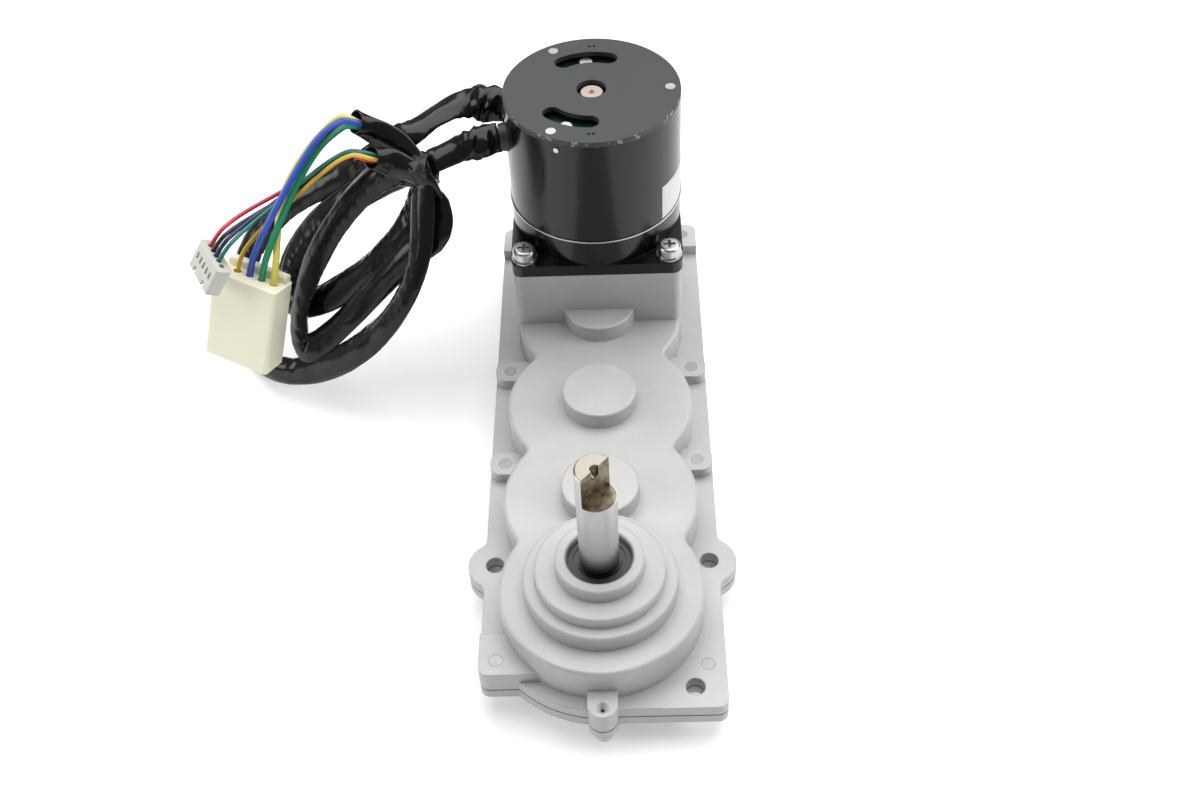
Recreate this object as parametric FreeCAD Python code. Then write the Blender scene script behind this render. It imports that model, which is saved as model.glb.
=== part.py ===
# Gear motor: a square-flanged brushless motor stands on one end of a long cast gearbox.
# Three reductions step along the casting to a half-round output shaft at the other end.
# Millimetres. The origin is under the output shaft, on the table; +Y runs to the motor, +Z is up.
import FreeCAD
import Part
import math
import os

V = FreeCAD.Vector
UP = V(0, 0, 1)

# Gear train, driving dimensions
pressure_angle = 20.0
backlash = 0.12
motor_pinion_teeth = 12
first_gear_teeth = 57
first_module = 0.8
first_shift = 0.4
layshaft_pinion_teeth = 31
layshaft_gear_teeth = 52
layshaft_module = 1.0
output_pinion_teeth = 15
output_gear_teeth = 42
output_module = 1.25
output_shift = 0.25

# Heights of the gears above the table
gear_width = 6.0
output_gear_bottom = 9.0
output_gear_width = 8.0
second_gear_bottom = 10.5
third_gear_bottom = 18.5
first_gear_bottom = 18.0
first_pinion_bottom = 10.0
first_pinion_width = 7.0
second_pinion_bottom = 18.0
second_pinion_width = 6.8
third_pinion_bottom = 8.6
third_pinion_width = 8.4
motor_pinion_bottom = 17.2
motor_pinion_width = 7.6

# Castings
wall = 3.0
gear_room = 1.4
first_lobe_room = 2.5
valley_radius = 3.0
floor_thickness = 3.0
thin_floor = 1.5
tub_height = 8.0
back_flange_thickness = 3.5
gasket_thickness = 0.5
front_flange_thickness = 4.0
ear_height = 8.0
ceiling_height = 26.0
flange_margin = 6.0
far_margin = 33.2
far_ear_length = 13.1
far_screw_inset = 5.9
front_arc_radius = 35.8
front_edge_y = -35.4
corner_ear_front = -25.3
corner_ear_rear = -10.5
flange_corner = 4.0
front_corner = 3.0
lobe_edge_round = 1.2
tier_edge_round = 0.7
ear_half_width = 4.9
ear_root = 12.0
far_ear_overlap = 2.0
far_ear_corner = 3.8
lug_radius = 4.5
lug_reach = 36.0
lug_hole_reach = 37.2
lug_hole_radius = 0.6
lug_sink_radius = 1.9
lug_sink_depth = 1.6
lug_boss_inset = 0.3
lug_boss_drop = 5.0
lug_boss_tip_radius = 2.6

# Holes of the casting
mount_ear_x = 34.3
mount_ear_y = 18.3
mount_ear_radius = 8.7
mount_ear_blend = 3.5
mount_hole_radius = 3.0
corner_hole_x = 27.7
corner_hole_y = -28.2
screw_radius = 2.0
screw_gap = 0.06
screw_clearance = 0.25
screw_head_radius = 3.5
screw_head_height = 2.4
screw_head_taper = 0.6
screw_head_floor = 0.8
screw_drive_radius = 1.5
side_screw_inset = 5.1
near_ear_shift = 1.4
far_ear_shift = 3.3
front_screw_left = (-32.1, -20.1)
front_screw_right = (31.9, -20.3)

# Bearings and seal: bore radius, outer radius, width
layshaft_bearing = (3.0, 9.5, 6.0)
output_front_bearing = (7.5, 16.0, 9.0)
output_rear_bearing = (7.5, 14.0, 7.0)
motor_front_bearing = (4.0, 11.0, 7.0)
motor_rear_bearing = (4.0, 8.0, 5.0)
race_gap = 0.3
race_share = 0.42
bearing_lift = 1.0
bearing_cup_wall = 2.2
seal_radius = 10.0
seal_width = 5.0
seal_recess = 2.2
seal_seat = 1.0
seal_lip_gap = 0.05
seal_bevel = 0.5
seal_shell_gap = 1.6
seal_lip_low = 2.2
seal_lip_high = 1.7
seal_lip_inset = 0.4

# Round steps over the output shaft and the bearing bosses
boss_roof = 3.2
boss_radius = 12.5
first_step_radius = 23.5
second_step_radius = 19.8
second_step_rise = 4.1
third_step_radius = 13.4
third_step_rise = 4.9
cast_draft = 0.25

# Output shaft
shaft_radius = 6.0
journal_radius = 6.5
shaft_top = 84.3
half_round_length = 12.0
half_round_angle = 48.0
shaft_chamfer = 0.5
centre_hole_radius = 1.5
centre_hole_depth = 3.5
centre_hole_point = 1.0
gear_seat_radius = 8.5
shaft_collar_radius = 10.0
shaft_shoulder_radius = 9.0
shaft_collar_width = 0.9
shaft_shoulder_width = 1.6
rear_seat_gap = 0.2
journal_rise = 0.3
tip_flat = 0.3
key_end_gap = 0.6
key_width = 5.0
key_height = 4.0

# Layshafts
layshaft_seat_radius = 6.0
layshaft_shoulder_radius = 4.2
end_gap = 0.5
web_recess = 1.2
web_hole_count = 6
rim_depth = 3.0
web_hub_wall = 3.0
web_hole_share = 0.3

# Riser that carries the motor
riser_half_width = 29.5
riser_front = 30.1
riser_rear = 29.9
riser_corner = 3.0
riser_top = 51.5
riser_cavity_radius = 22.0
riser_roof = 4.5
pilot_radius = 18.0
pilot_depth = 2.0
pilot_gap = 0.1
pinion_passage = 8.8

# Motor
motor_flange_half = 30.0
motor_flange_thickness = 4.5
motor_flange_corner = 4.0
motor_screw_half_pitch = 25.25
motor_screw_depth = 11.0
motor_radius = 30.0
motor_wall = 2.5
bell_height = 10.6
bell_floor = 3.0
seam_chamfer = 0.3
cup_clearance = 0.5
front_bore_gap = 2.5
can_top = 106.4
cap_thickness = 1.8
cap_hole_radius = 5.0
cap_screw_ring = 26.4
cap_screw_radius = 1.0
cap_screw_head = 1.7
cap_screw_angles = (0.0, 120.0, 240.0)
cap_slot_ring = 18.4
cap_slot_half_width = 3.2
cap_slots = ((72.0, 121.0), (225.0, 268.0))
cap_pip_ring = 25.0
cap_pip_angles = (88.0, 91.5, 268.0, 271.5)
cap_pip_radius = 0.5
cap_pip_depth = 1.0
web_drop = 7.9
web_thickness = 2.5
hub_drop = 10.4
hub_recess = 0.9
hub_step = 0.4
hub_radius = 11.0
hub_bore_gap = 1.5
post_radius = 2.4
stand_radius = 2.2
cap_screw_depth = 4.0
cap_chamfer = 0.25
cap_screw_head_height = 1.0
board_screw_depth = 3.0
board_inner = 11.6
board_outer = 23.0
board_drop = 3.2
board_thickness = 1.6
board_screw_ring = 19.3
board_screw_angles = (96.0, 244.0, 350.0)
board_screw_head = 2.4
board_screw_head_height = 1.4
board_screw_head_round = 0.5
board_chips = ((62, 16.5, 2.2, 1.0), (130, 17.0, 2.6, 1.2), (205, 17.5, 2.6, 1.1), (285, 16.0, 3.0, 1.2),
               (30, 18.5, 2.0, 0.9), (262, 19.5, 1.8, 0.8))
side_screw_drop = 2.2
side_screw_radius = 0.9
side_screw_length = 1.2
side_screw_recess = 0.8
side_screw_angle = 247.4
stator_gap = 3.9
stator_headroom = 11.0
stator_teeth = 6
stator_bore = 15.5
stator_yoke = 4.5
tooth_width = 7.0
tooth_shoe = 2.2
tooth_shoe_half = 6.65
winding_depth = 3.4
winding_overhang = 3.2
winding_gap = 0.3
winding_round = 1.0
air_gap = 0.5
magnet_thickness = 2.6
magnet_count = 4
magnet_inset = 0.5
magnet_gap_angle = 3.0
sensor_magnet_radius = 7.0
sensor_magnet_height = 2.0
sensor_gap = 0.8
motor_shaft_radius = 4.0
motor_shaft_rise = 0.5
motor_shaft_chamfer = 0.35
motor_shaft_pip_radius = 1.1
motor_shaft_pip_depth = 1.2
wave_washer_height = 0.5
wave_washer_gap = 0.3
wave_washer_band = 1.9

# Motor screws and washers
pan_head_radius = 4.0
pan_head_height = 3.1
pan_head_round = 1.3
drive_reach = 2.1
drive_half = 0.5
drive_depth = 1.8
spring_washer_radius = 3.9
spring_washer_height = 1.0
split_half = 0.4
flat_washer_radius = 4.5
flat_washer_height = 0.8
washer_bore = 2.2

# Blank label on the can
label_lift = 1.0
label_height = 12.5
label_half_width = 9.5
label_thickness = 0.12
label_angle = 4.0

# Cables: sleeves, the tied bundle and the loose wires
sleeve_radius = 4.0
grommet_radius = 5.2
grommet_neck_radius = 4.2
grommet_height = 2.4
grommet_lip = 0.5
cable_drop = 13.4
cable_angles = (157.0, 189.0)
phase_wire_radius = 1.2
hall_wire_radius = 0.75
bundle_thickness = 16.0
coil_offset = 24.955
tie_band = 1.2
tie_width = 6.0
tie_round = 0.4
tie_inner_end = 39.2
tie_outer_end = 59.3

# Connectors: length along the wires, width, thickness, and their wire holes across the width
phase_connector_size = (33.0, 25.0, 12.2)
phase_cavities = (6.0, 1.2, -3.6, -8.4)
phase_socket = 3.4
phase_socket_depth = 12.0
back_wall_thickness = 3.6
back_wall_rise = 3.0
back_wall_overlap = 2.0
hall_connector_size = (11.0, 16.2, 5.8)
hall_cavities = (5.0, 2.5, 0.0, -2.5, -5.0)
hall_socket_height = 3.4
hall_socket_depth = 6.0
window_half = 0.6
window_length = 2.8
window_depth = 0.6
notch_half = 0.8
notch_depth = 2.4
cavity_gap = 0.2
cavity_depth = 4.0
connector_round = 1.2

# Sizes that follow from the driving ones
first_centre = first_module * (motor_pinion_teeth + first_gear_teeth) / 2
layshaft_centre = layshaft_module * (layshaft_pinion_teeth + layshaft_gear_teeth) / 2
output_centre = output_module * (output_pinion_teeth + output_gear_teeth) / 2
third_y = output_centre
second_y = third_y + layshaft_centre
first_y = second_y + layshaft_centre
motor_y = first_y + first_centre


def tip_radius(teeth, module, shift=0.0):
    """Outer radius of a gear with standard addendum."""
    return module * (teeth / 2 + 1 + shift)


output_lobe = tip_radius(output_gear_teeth, output_module, -output_shift) + gear_room + wall
layshaft_lobe = tip_radius(layshaft_gear_teeth, layshaft_module) + gear_room + wall
first_lobe = tip_radius(first_gear_teeth, first_module, -first_shift) + first_lobe_room + wall
lobes = ((0.0, output_lobe), (third_y, layshaft_lobe), (second_y, layshaft_lobe), (first_y, first_lobe))
motor_lobe = (motor_y, riser_cavity_radius + wall)

flange_half = layshaft_lobe + flange_margin
far_y = motor_y + far_margin
split = tub_height + back_flange_thickness
front_base = split + gasket_thickness
flange_top = front_base + front_flange_thickness
ear_top = front_base + ear_height
lobe_top = ceiling_height + wall
boss_top = ceiling_height + layshaft_bearing[2] + boss_roof
first_step_top = boss_top
second_step_top = first_step_top + second_step_rise
third_step_top = second_step_top + third_step_rise
front_bearing_bottom = ceiling_height + bearing_lift
front_bearing_top = front_bearing_bottom + output_front_bearing[2]
seal_top = third_step_top - seal_recess
seal_bottom = seal_top - seal_width
screw_x = flange_half - side_screw_inset
valley_ys = ((third_y + second_y) / 2 + near_ear_shift, (second_y + first_y) / 2 + far_ear_shift)
far_screw_y = far_y - far_screw_inset
shaft_stations = (third_y, second_y, first_y)
flange_screws = [(side * screw_x, y, ear_top) for y in (*valley_ys, far_screw_y) for side in (-1, 1)]
flange_screws += [(*front_screw_left, ear_top), (*front_screw_right, flange_top)]
motor_flange_top = riser_top + motor_flange_thickness
bell_top = motor_flange_top + bell_height
cap_top = can_top + cap_thickness
web_bottom = can_top - web_drop
hub_bottom = can_top - hub_drop
hub_top = can_top - hub_recess
rear_pocket = hub_top - hub_step - motor_rear_bearing[2]
board_bottom = can_top - board_drop
board_top = board_bottom + board_thickness
side_screw_height = can_top - side_screw_drop
cable_height = can_top - cable_drop
motor_shaft_top = can_top + motor_shaft_rise
stator_bottom = bell_top + stator_gap
stator_length = web_bottom - stator_bottom - stator_headroom
magnet_radius = stator_bore - air_gap
rotor_core_radius = magnet_radius - magnet_thickness
motor_screws = [(sx * motor_screw_half_pitch, motor_y + sy * motor_screw_half_pitch)
                for sx in (-1, 1) for sy in (-1, 1)]

NODES = {}


def keep(name, *shapes):
    """Files the solids of one sub-part under its node name."""
    solids = [solid for shape in shapes for solid in shape.Solids]
    NODES[name] = solids[0] if len(solids) == 1 else Part.makeCompound(solids)
    return NODES[name]


def cyl(x, y, bottom, top, radius):
    return Part.makeCylinder(radius, top - bottom, V(x, y, bottom))


def cone(x, y, bottom, top, low_radius, top_radius):
    return Part.makeCone(low_radius, top_radius, top - bottom, V(x, y, bottom))


def ring(x, y, bottom, top, outer, inner):
    return cyl(x, y, bottom, top, outer).cut(cyl(x, y, bottom, top, inner))


def block(x0, x1, y0, y1, z0, z1):
    return Part.makeBox(x1 - x0, y1 - y0, z1 - z0, V(x0, y0, z0))


def fused(shapes):
    """Union of a list of solids, with the faces that run on merged."""
    return shapes[0].multiFuse(shapes[1:]).removeSplitter()


def holes(shape, cutters):
    return shape.cut(Part.makeCompound(cutters))


def on_ring(y, radius, degrees):
    """Point at an angle round the shaft that stands at x = 0 and the given y."""
    angle = math.radians(degrees)
    return radius * math.cos(angle), y + radius * math.sin(angle)


def radial(shape, degrees):
    """Turns a shape that was made along +X to an angle round the motor's axis."""
    shape.rotate(V(0, 0, 0), UP, degrees)
    shape.translate(V(0, motor_y, 0))
    return shape


def uprights(shape, places, reach=0.6):
    """Upright edges of a shape that stand at the given places in plan."""
    found = []
    for edge in shape.Edges:
        ends = [vertex.Point for vertex in edge.Vertexes]
        if len(ends) != 2 or math.hypot(ends[0].x - ends[1].x, ends[0].y - ends[1].y) > 0.01:
            continue
        if any(math.hypot(ends[0].x - x, ends[0].y - y) < reach for x, y in places):
            found.append(edge)
    return found


def round_uprights(shape, places, radius):
    return shape.makeFillet(radius, uprights(shape, places))


def flat_edges(shape, height, test=None):
    """Edges of a shape that lie level at one height."""
    found = []
    for edge in shape.Edges:
        box = edge.BoundBox
        if abs(box.ZMin - height) < 0.01 and abs(box.ZMax - height) < 0.01:
            if test is None or test(edge):
                found.append(edge)
    return found


def lobed_face(circles, valley):
    """Plan outline of round lobes along Y, each valley between two rounded by a tangent arc."""
    half = []
    first_y0, first_r0 = circles[0]
    start = V(0, first_y0 - first_r0, 0)
    angle = -math.pi / 2
    for (y0, r0), (y1, r1) in zip(circles, circles[1:]):
        apart = y1 - y0
        a, b = r0 + valley, r1 + valley
        fy = y0 + (a * a - b * b + apart * apart) / (2 * apart)
        fx = math.sqrt(a * a - (fy - y0) ** 2)
        leave = V(fx * r0 / a, y0 + (fy - y0) * r0 / a, 0)
        arrive = V(fx * r1 / b, y1 + (fy - y1) * r1 / b, 0)
        leave_angle = math.atan2(leave.y - y0, leave.x)
        middle = (angle + leave_angle) / 2
        half.append((start, V(r0 * math.cos(middle), y0 + r0 * math.sin(middle), 0), leave))
        half.append((leave, V(fx - valley, (leave.y + arrive.y) / 2, 0), arrive))
        start = arrive
        angle = math.atan2(arrive.y - y1, arrive.x)
    last_y, last_r = circles[-1]
    middle = (angle + math.pi / 2) / 2
    top = V(0, last_y + last_r, 0)
    half.append((start, V(last_r * math.cos(middle), last_y + last_r * math.sin(middle), 0), top))
    edges = [Part.Arc(a, b, c).toShape() for a, b, c in half]
    edges += [Part.Arc(V(-c.x, c.y, 0), V(-b.x, b.y, 0), V(-a.x, a.y, 0)).toShape() for a, b, c in reversed(half)]
    return Part.Face(Part.Wire(edges))


def raised(face, bottom, top):
    """Prism of a plan outline between two heights."""
    outline = face.copy()
    outline.translate(V(0, 0, bottom))
    return outline.extrude(V(0, 0, top - bottom))


def rounded_box(x0, x1, y0, y1, z0, z1, radius, corners=None):
    """Box whose upright edges, all or the named corners, are rounded."""
    body = block(x0, x1, y0, y1, z0, z1)
    places = corners or [(x0, y0), (x0, y1), (x1, y0), (x1, y1)]
    return round_uprights(body, places, radius)


def involute(angle):
    return math.tan(angle) - angle


def gear(y, teeth, module, shift, bottom, width, phase, flank_steps):
    """Spur gear blank with involute teeth; one tooth is centred on the phase angle."""
    pitch = module * teeth / 2
    base = pitch * math.cos(math.radians(pressure_angle))
    tip = tip_radius(teeth, module, shift)
    root = pitch - module * (1.25 - shift)
    half_tooth = (math.pi / 2 + 2 * shift * math.tan(math.radians(pressure_angle))) / teeth
    half_tooth -= backlash / (4 * pitch)
    half_tooth += involute(math.radians(pressure_angle))
    low = max(root, base)
    radii = [low + (tip - low) * step / flank_steps for step in range(flank_steps + 1)]
    flank = [(radius, half_tooth - involute(math.acos(min(1.0, base / radius)))) for radius in radii]
    if root < base:
        flank.insert(0, (root, flank[0][1]))
    points = []
    for tooth in range(teeth):
        centre = math.radians(phase) + 2 * math.pi * tooth / teeth
        sides = [(radius, centre - half) for radius, half in flank]
        sides += [(radius, centre + half) for radius, half in reversed(flank)]
        points += [V(radius * math.cos(a), y + radius * math.sin(a), bottom) for radius, a in sides]
    outline = Part.makePolygon(points + [points[0]])
    return Part.Face(outline).extrude(V(0, 0, width))


def races(y, bottom, sizes):
    """Inner and outer half of a shielded ball bearing, with the running gap between them."""
    bore, outer, width = sizes
    middle = bore + (outer - bore) * race_share
    inner_race = ring(0, y, bottom, bottom + width, middle - race_gap / 2, bore)
    outer_race = ring(0, y, bottom, bottom + width, outer, middle + race_gap / 2)
    return inner_race, outer_race


def flange_plate(bottom, top):
    """Plan shape shared by both castings' flanges and the gasket."""
    long_part = rounded_box(-flange_half, flange_half, corner_ear_front, far_y, bottom, top, flange_corner,
                            [(-flange_half, far_y), (flange_half, far_y)])
    long_part = round_uprights(long_part, [(-flange_half, corner_ear_front)], front_corner)
    right_part = rounded_box(0, flange_half, front_edge_y, 0, bottom, top, front_corner,
                             [(flange_half, front_edge_y)])
    ears = [cyl(side * mount_ear_x, mount_ear_y, bottom, top, mount_ear_radius) for side in (-1, 1)]
    lug = cyl(0, -lug_reach, bottom, top, lug_radius)
    plate = fused([long_part, right_part, cyl(0, 0, bottom, top, front_arc_radius), lug] + ears)
    rise = math.sqrt(mount_ear_radius ** 2 - (flange_half - mount_ear_x) ** 2)
    meets = [(side * flange_half, mount_ear_y + way * rise) for side in (-1, 1) for way in (-1, 1)]
    return round_uprights(plate, meets, mount_ear_blend)


def flange_holes(bottom, top):
    """Holes for the parts that fasten the finished gearbox to its machine."""
    places = [(-mount_ear_x, mount_ear_y), (mount_ear_x, mount_ear_y), (corner_hole_x, corner_hole_y)]
    return [cyl(x, y, bottom, top, mount_hole_radius) for x, y in places]


def make_front_housing():
    flange = flange_plate(front_base, flange_top)
    flange = holes(flange, flange_holes(front_base, flange_top))
    body = raised(lobed_face(lobes, valley_radius), front_base, lobe_top)
    body = body.makeFillet(lobe_edge_round, flat_edges(body, lobe_top))
    steps = fused([
        cone(0, 0, lobe_top - 1, first_step_top, first_step_radius + cast_draft, first_step_radius),
        cone(0, 0, first_step_top - 1, second_step_top, second_step_radius + cast_draft, second_step_radius),
        cone(0, 0, second_step_top - 1, third_step_top, third_step_radius + cast_draft, third_step_radius)])
    rims = [edge for height in (first_step_top, second_step_top, third_step_top)
            for edge in flat_edges(steps, height)]
    outer_rims = [edge for edge in rims if edge.Curve.Radius in (first_step_radius, second_step_radius,
                                                                 third_step_radius)]
    steps = steps.makeFillet(tier_edge_round, outer_rims)
    bosses = []
    for y in shaft_stations:
        boss = cone(0, y, lobe_top - 1, boss_top, boss_radius + cast_draft, boss_radius)
        bosses.append(boss.makeFillet(tier_edge_round, flat_edges(boss, boss_top)))
    riser = rounded_box(-riser_half_width, riser_half_width, motor_y - riser_front, motor_y + riser_rear,
                        front_base, riser_top, riser_corner)
    ears = []
    for side in (-1, 1):
        for y in valley_ys:
            inner, outer = side * (screw_x - ear_root), side * flange_half
            corners = [(outer, y - ear_half_width), (outer, y + ear_half_width)]
            ears.append(rounded_box(min(inner, outer), max(inner, outer), y - ear_half_width, y + ear_half_width,
                                    front_base, ear_top, flange_corner, corners))
        inner, outer = side * (riser_half_width - far_ear_overlap), side * flange_half
        ears.append(rounded_box(min(inner, outer), max(inner, outer), far_y - far_ear_length, far_y,
                                front_base, ear_top, far_ear_corner, [(outer, far_y)]))
    corner_ear = rounded_box(-flange_half, -output_lobe / 2, corner_ear_front, corner_ear_rear,
                             front_base, ear_top, front_corner, [(-flange_half, corner_ear_front)])
    lug = fused([cyl(0, -lug_reach, front_base, ear_top, lug_radius),
                 block(-lug_radius, lug_radius, -lug_reach, -output_lobe + wall, front_base, ear_top)])
    shell = fused([flange, body, steps, riser, corner_ear, lug] + bosses + ears)

    inner = [(y, radius - wall) for y, radius in lobes]
    cutters = [raised(lobed_face(inner, valley_radius + wall), front_base, ceiling_height)]
    cutters.append(cyl(0, motor_y, front_base, riser_top - riser_roof, riser_cavity_radius))
    cutters.append(cyl(0, motor_y, front_base, riser_top, pinion_passage))
    cutters.append(cyl(0, motor_y, riser_top - pilot_depth, riser_top, pilot_radius + pilot_gap))
    cutters.append(cyl(0, 0, ceiling_height - 1, front_bearing_top, output_front_bearing[1]))
    cutters.append(cyl(0, 0, ceiling_height, third_step_top, journal_radius + seal_seat))
    cutters.append(cyl(0, 0, seal_bottom, third_step_top, seal_radius))
    cutters.append(cone(0, 0, third_step_top - seal_bevel, third_step_top, seal_radius,
                        seal_radius + seal_bevel))
    for y in shaft_stations:
        cutters.append(cyl(0, y, ceiling_height - 1, ceiling_height + layshaft_bearing[2], layshaft_bearing[1]))
    for x, y, tip in flange_screws:
        cutters.append(cyl(x, y, front_base, tip, screw_radius + screw_gap))
    for x, y in motor_screws:
        cutters.append(cyl(x, y, riser_top - motor_screw_depth - 1, riser_top, screw_radius + screw_gap))
    cutters.append(cyl(0, -lug_hole_reach, front_base, ear_top, lug_hole_radius))
    cutters.append(cone(0, -lug_hole_reach, ear_top - lug_sink_depth, ear_top, lug_hole_radius, lug_sink_radius))
    keep("front_housing", holes(shell, cutters))


def make_back_cover():
    flange = flange_plate(tub_height, split)
    tub_lobes = [*lobes, motor_lobe]
    tub = raised(lobed_face(tub_lobes, valley_radius), 0, split)
    tub = tub.makeFillet(lobe_edge_round, flat_edges(tub, 0))
    lug_boss = cone(0, -lug_reach, tub_height - lug_boss_drop, tub_height, lug_boss_tip_radius,
                    lug_radius - lug_boss_inset)
    shell = fused([flange, tub, lug_boss])
    inner = [(y, radius - wall) for y, radius in tub_lobes]
    cutters = [raised(lobed_face(inner, valley_radius + wall), floor_thickness, split)]
    cutters += flange_holes(tub_height, split)
    for x, y, tip in flange_screws:
        cutters.append(cyl(x, y, tub_height, split, screw_radius + screw_clearance))
    shell = holes(shell, cutters)
    cups = []
    for y in shaft_stations:
        top = thin_floor + layshaft_bearing[2]
        cups.append(cyl(0, y, floor_thickness - 0.5, top, layshaft_bearing[1] + bearing_cup_wall))
    top = thin_floor + output_rear_bearing[2]
    cups.append(cyl(0, 0, floor_thickness - 0.5, top - 0.1, output_rear_bearing[1] + bearing_cup_wall))
    shell = fused([shell] + cups)
    pockets = [cyl(0, y, thin_floor, split, layshaft_bearing[1]) for y in shaft_stations]
    pockets.append(cyl(0, 0, thin_floor, split, output_rear_bearing[1]))
    keep("back_cover", holes(shell, pockets))


def make_gasket():
    sheet = flange_plate(split, front_base)
    inner = [(y, radius - wall) for y, radius in [*lobes, motor_lobe]]
    cutters = [raised(lobed_face(inner, valley_radius + wall), split, front_base)]
    cutters += flange_holes(split, front_base)
    for x, y, tip in flange_screws:
        cutters.append(cyl(x, y, split, front_base, screw_radius + screw_clearance))
    keep("housing_gasket", holes(sheet, cutters))


def make_housing_screws():
    screws = []
    for x, y, tip in flange_screws:
        stem = cyl(x, y, tub_height, tip, screw_radius)
        head = cone(x, y, tub_height - screw_head_height, tub_height, screw_head_radius - screw_head_taper,
                    screw_head_radius)
        drive = cyl(x, y, tub_height - screw_head_height, tub_height - screw_head_floor, screw_drive_radius)
        screws.append(stem.fuse(head).cut(drive))
    keep("housing_screws", *screws)


def make_seal():
    shell = ring(0, 0, seal_bottom, seal_top, seal_radius, journal_radius + seal_shell_gap)
    lip = cone(0, 0, seal_bottom + seal_lip_inset, seal_top - seal_lip_inset, journal_radius + seal_lip_low,
               journal_radius + seal_lip_high)
    throat = cyl(0, 0, seal_bottom, seal_top, journal_radius + seal_lip_gap)
    keep("output_seal", fused([shell, lip]).cut(throat))


def make_output_shaft():
    rear_top = thin_floor + output_rear_bearing[2]
    rear_radius = output_rear_bearing[0]
    gear_top = output_gear_bottom + output_gear_width
    sections = [
        (thin_floor + end_gap, rear_top + rear_seat_gap, rear_radius),
        (rear_top + rear_seat_gap, gear_top, gear_seat_radius),
        (gear_top, gear_top + shaft_collar_width, shaft_collar_radius),
        (gear_top + shaft_collar_width, front_bearing_top, output_front_bearing[0]),
        (front_bearing_bottom - shaft_shoulder_width, front_bearing_bottom, shaft_shoulder_radius),
        (front_bearing_top, seal_top + journal_rise, journal_radius)]
    shaft = [cyl(0, 0, low, high, radius) for low, high, radius in sections]
    end = cyl(0, 0, seal_top + journal_rise, shaft_top, shaft_radius)
    end = end.makeChamfer(shaft_chamfer, flat_edges(end, shaft_top))
    shaft = fused(shaft + [end])
    reach = 2 * shaft_radius
    half = block(-reach, reach, -reach, 0, shaft_top - half_round_length, shaft_top)
    half.rotate(V(0, 0, 0), UP, half_round_angle)
    hole_bottom = shaft_top - centre_hole_depth
    cutters = [half, cyl(0, 0, hole_bottom, shaft_top, centre_hole_radius)]
    cutters.append(cone(0, 0, hole_bottom - centre_hole_point, hole_bottom, tip_flat, centre_hole_radius))
    cutters.append(key_block())
    keep("output_shaft", holes(shaft, cutters))
    bore = cyl(0, 0, output_gear_bottom, gear_top, gear_seat_radius)
    wheel = gear(0, output_gear_teeth, output_module, -output_shift, output_gear_bottom, output_gear_width, 90, 1)
    keep("output_gear", wheel.cut(bore).cut(key_block()))
    keep("output_key", key_block())


def key_block():
    """Square key that turns the output gear with its shaft."""
    middle = gear_seat_radius
    return block(middle - key_height / 2, middle + key_height / 2, -key_width / 2, key_width / 2,
                 output_gear_bottom, output_gear_bottom + output_gear_width - key_end_gap)


def make_layshaft(y, pinion, wheel, names):
    """One layshaft: a pinion cut on its shaft, with the larger gear pressed on beside it."""
    p_teeth, p_module, p_shift, p_bottom, p_width, p_steps = pinion
    g_teeth, g_module, g_shift, g_bottom = wheel
    low = thin_floor + end_gap
    high = ceiling_height + layshaft_bearing[2] - end_gap
    rear_top = thin_floor + layshaft_bearing[2]
    gear_top = g_bottom + gear_width
    sections = [cyl(0, y, low, high, layshaft_bearing[0]),
                cyl(0, y, rear_top, ceiling_height, layshaft_shoulder_radius)]
    if g_bottom > p_bottom:
        sections.append(cyl(0, y, p_bottom + p_width, gear_top, layshaft_seat_radius))
    else:
        sections.append(cyl(0, y, g_bottom, p_bottom, layshaft_seat_radius))
    cut_teeth = gear(y, p_teeth, p_module, p_shift, p_bottom, p_width, 270 + 180 / p_teeth, p_steps)
    keep(names[0], fused(sections + [cut_teeth]))
    disc = gear(y, g_teeth, g_module, g_shift, g_bottom, gear_width, 90, 1)
    root = g_module * (g_teeth / 2 - 1.25 + g_shift)
    hub = layshaft_seat_radius + web_hub_wall
    face = ring(0, y, gear_top - web_recess, gear_top, root - rim_depth, hub)
    middle = (root - rim_depth + hub) / 2
    openings = [face, cyl(0, y, g_bottom, gear_top, layshaft_seat_radius)]
    for index in range(web_hole_count):
        x, hole_y = on_ring(y, middle, 360 * index / web_hole_count)
        openings.append(cyl(x, hole_y, g_bottom, gear_top, (root - rim_depth - hub) * web_hole_share))
    keep(names[1], holes(disc, openings))
    front = races(y, ceiling_height, layshaft_bearing)
    rear = races(y, thin_floor, layshaft_bearing)
    keep(names[2], front[0], rear[0])
    return front[1], rear[1]


def make_gear_train():
    outer_rings = []
    outer_rings += make_layshaft(
        third_y,
        (output_pinion_teeth, output_module, output_shift, third_pinion_bottom, third_pinion_width, 2),
        (layshaft_gear_teeth, layshaft_module, 0.0, third_gear_bottom),
        ("third_pinion_shaft", "third_gear", "third_bearing_inner_rings"))
    outer_rings += make_layshaft(
        second_y,
        (layshaft_pinion_teeth, layshaft_module, 0.0, second_pinion_bottom, second_pinion_width, 2),
        (layshaft_gear_teeth, layshaft_module, 0.0, second_gear_bottom),
        ("second_pinion_shaft", "second_gear", "second_bearing_inner_rings"))
    outer_rings += make_layshaft(
        first_y,
        (layshaft_pinion_teeth, layshaft_module, 0.0, first_pinion_bottom, first_pinion_width, 2),
        (first_gear_teeth, first_module, -first_shift, first_gear_bottom),
        ("first_pinion_shaft", "first_gear", "first_bearing_inner_rings"))
    keep("layshaft_bearing_outer_rings", *outer_rings)
    front = races(0, front_bearing_bottom, output_front_bearing)
    rear = races(0, thin_floor, output_rear_bearing)
    keep("output_bearing_outer_rings", front[1], rear[1])
    keep("output_bearing_inner_rings", front[0], rear[0])


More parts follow.
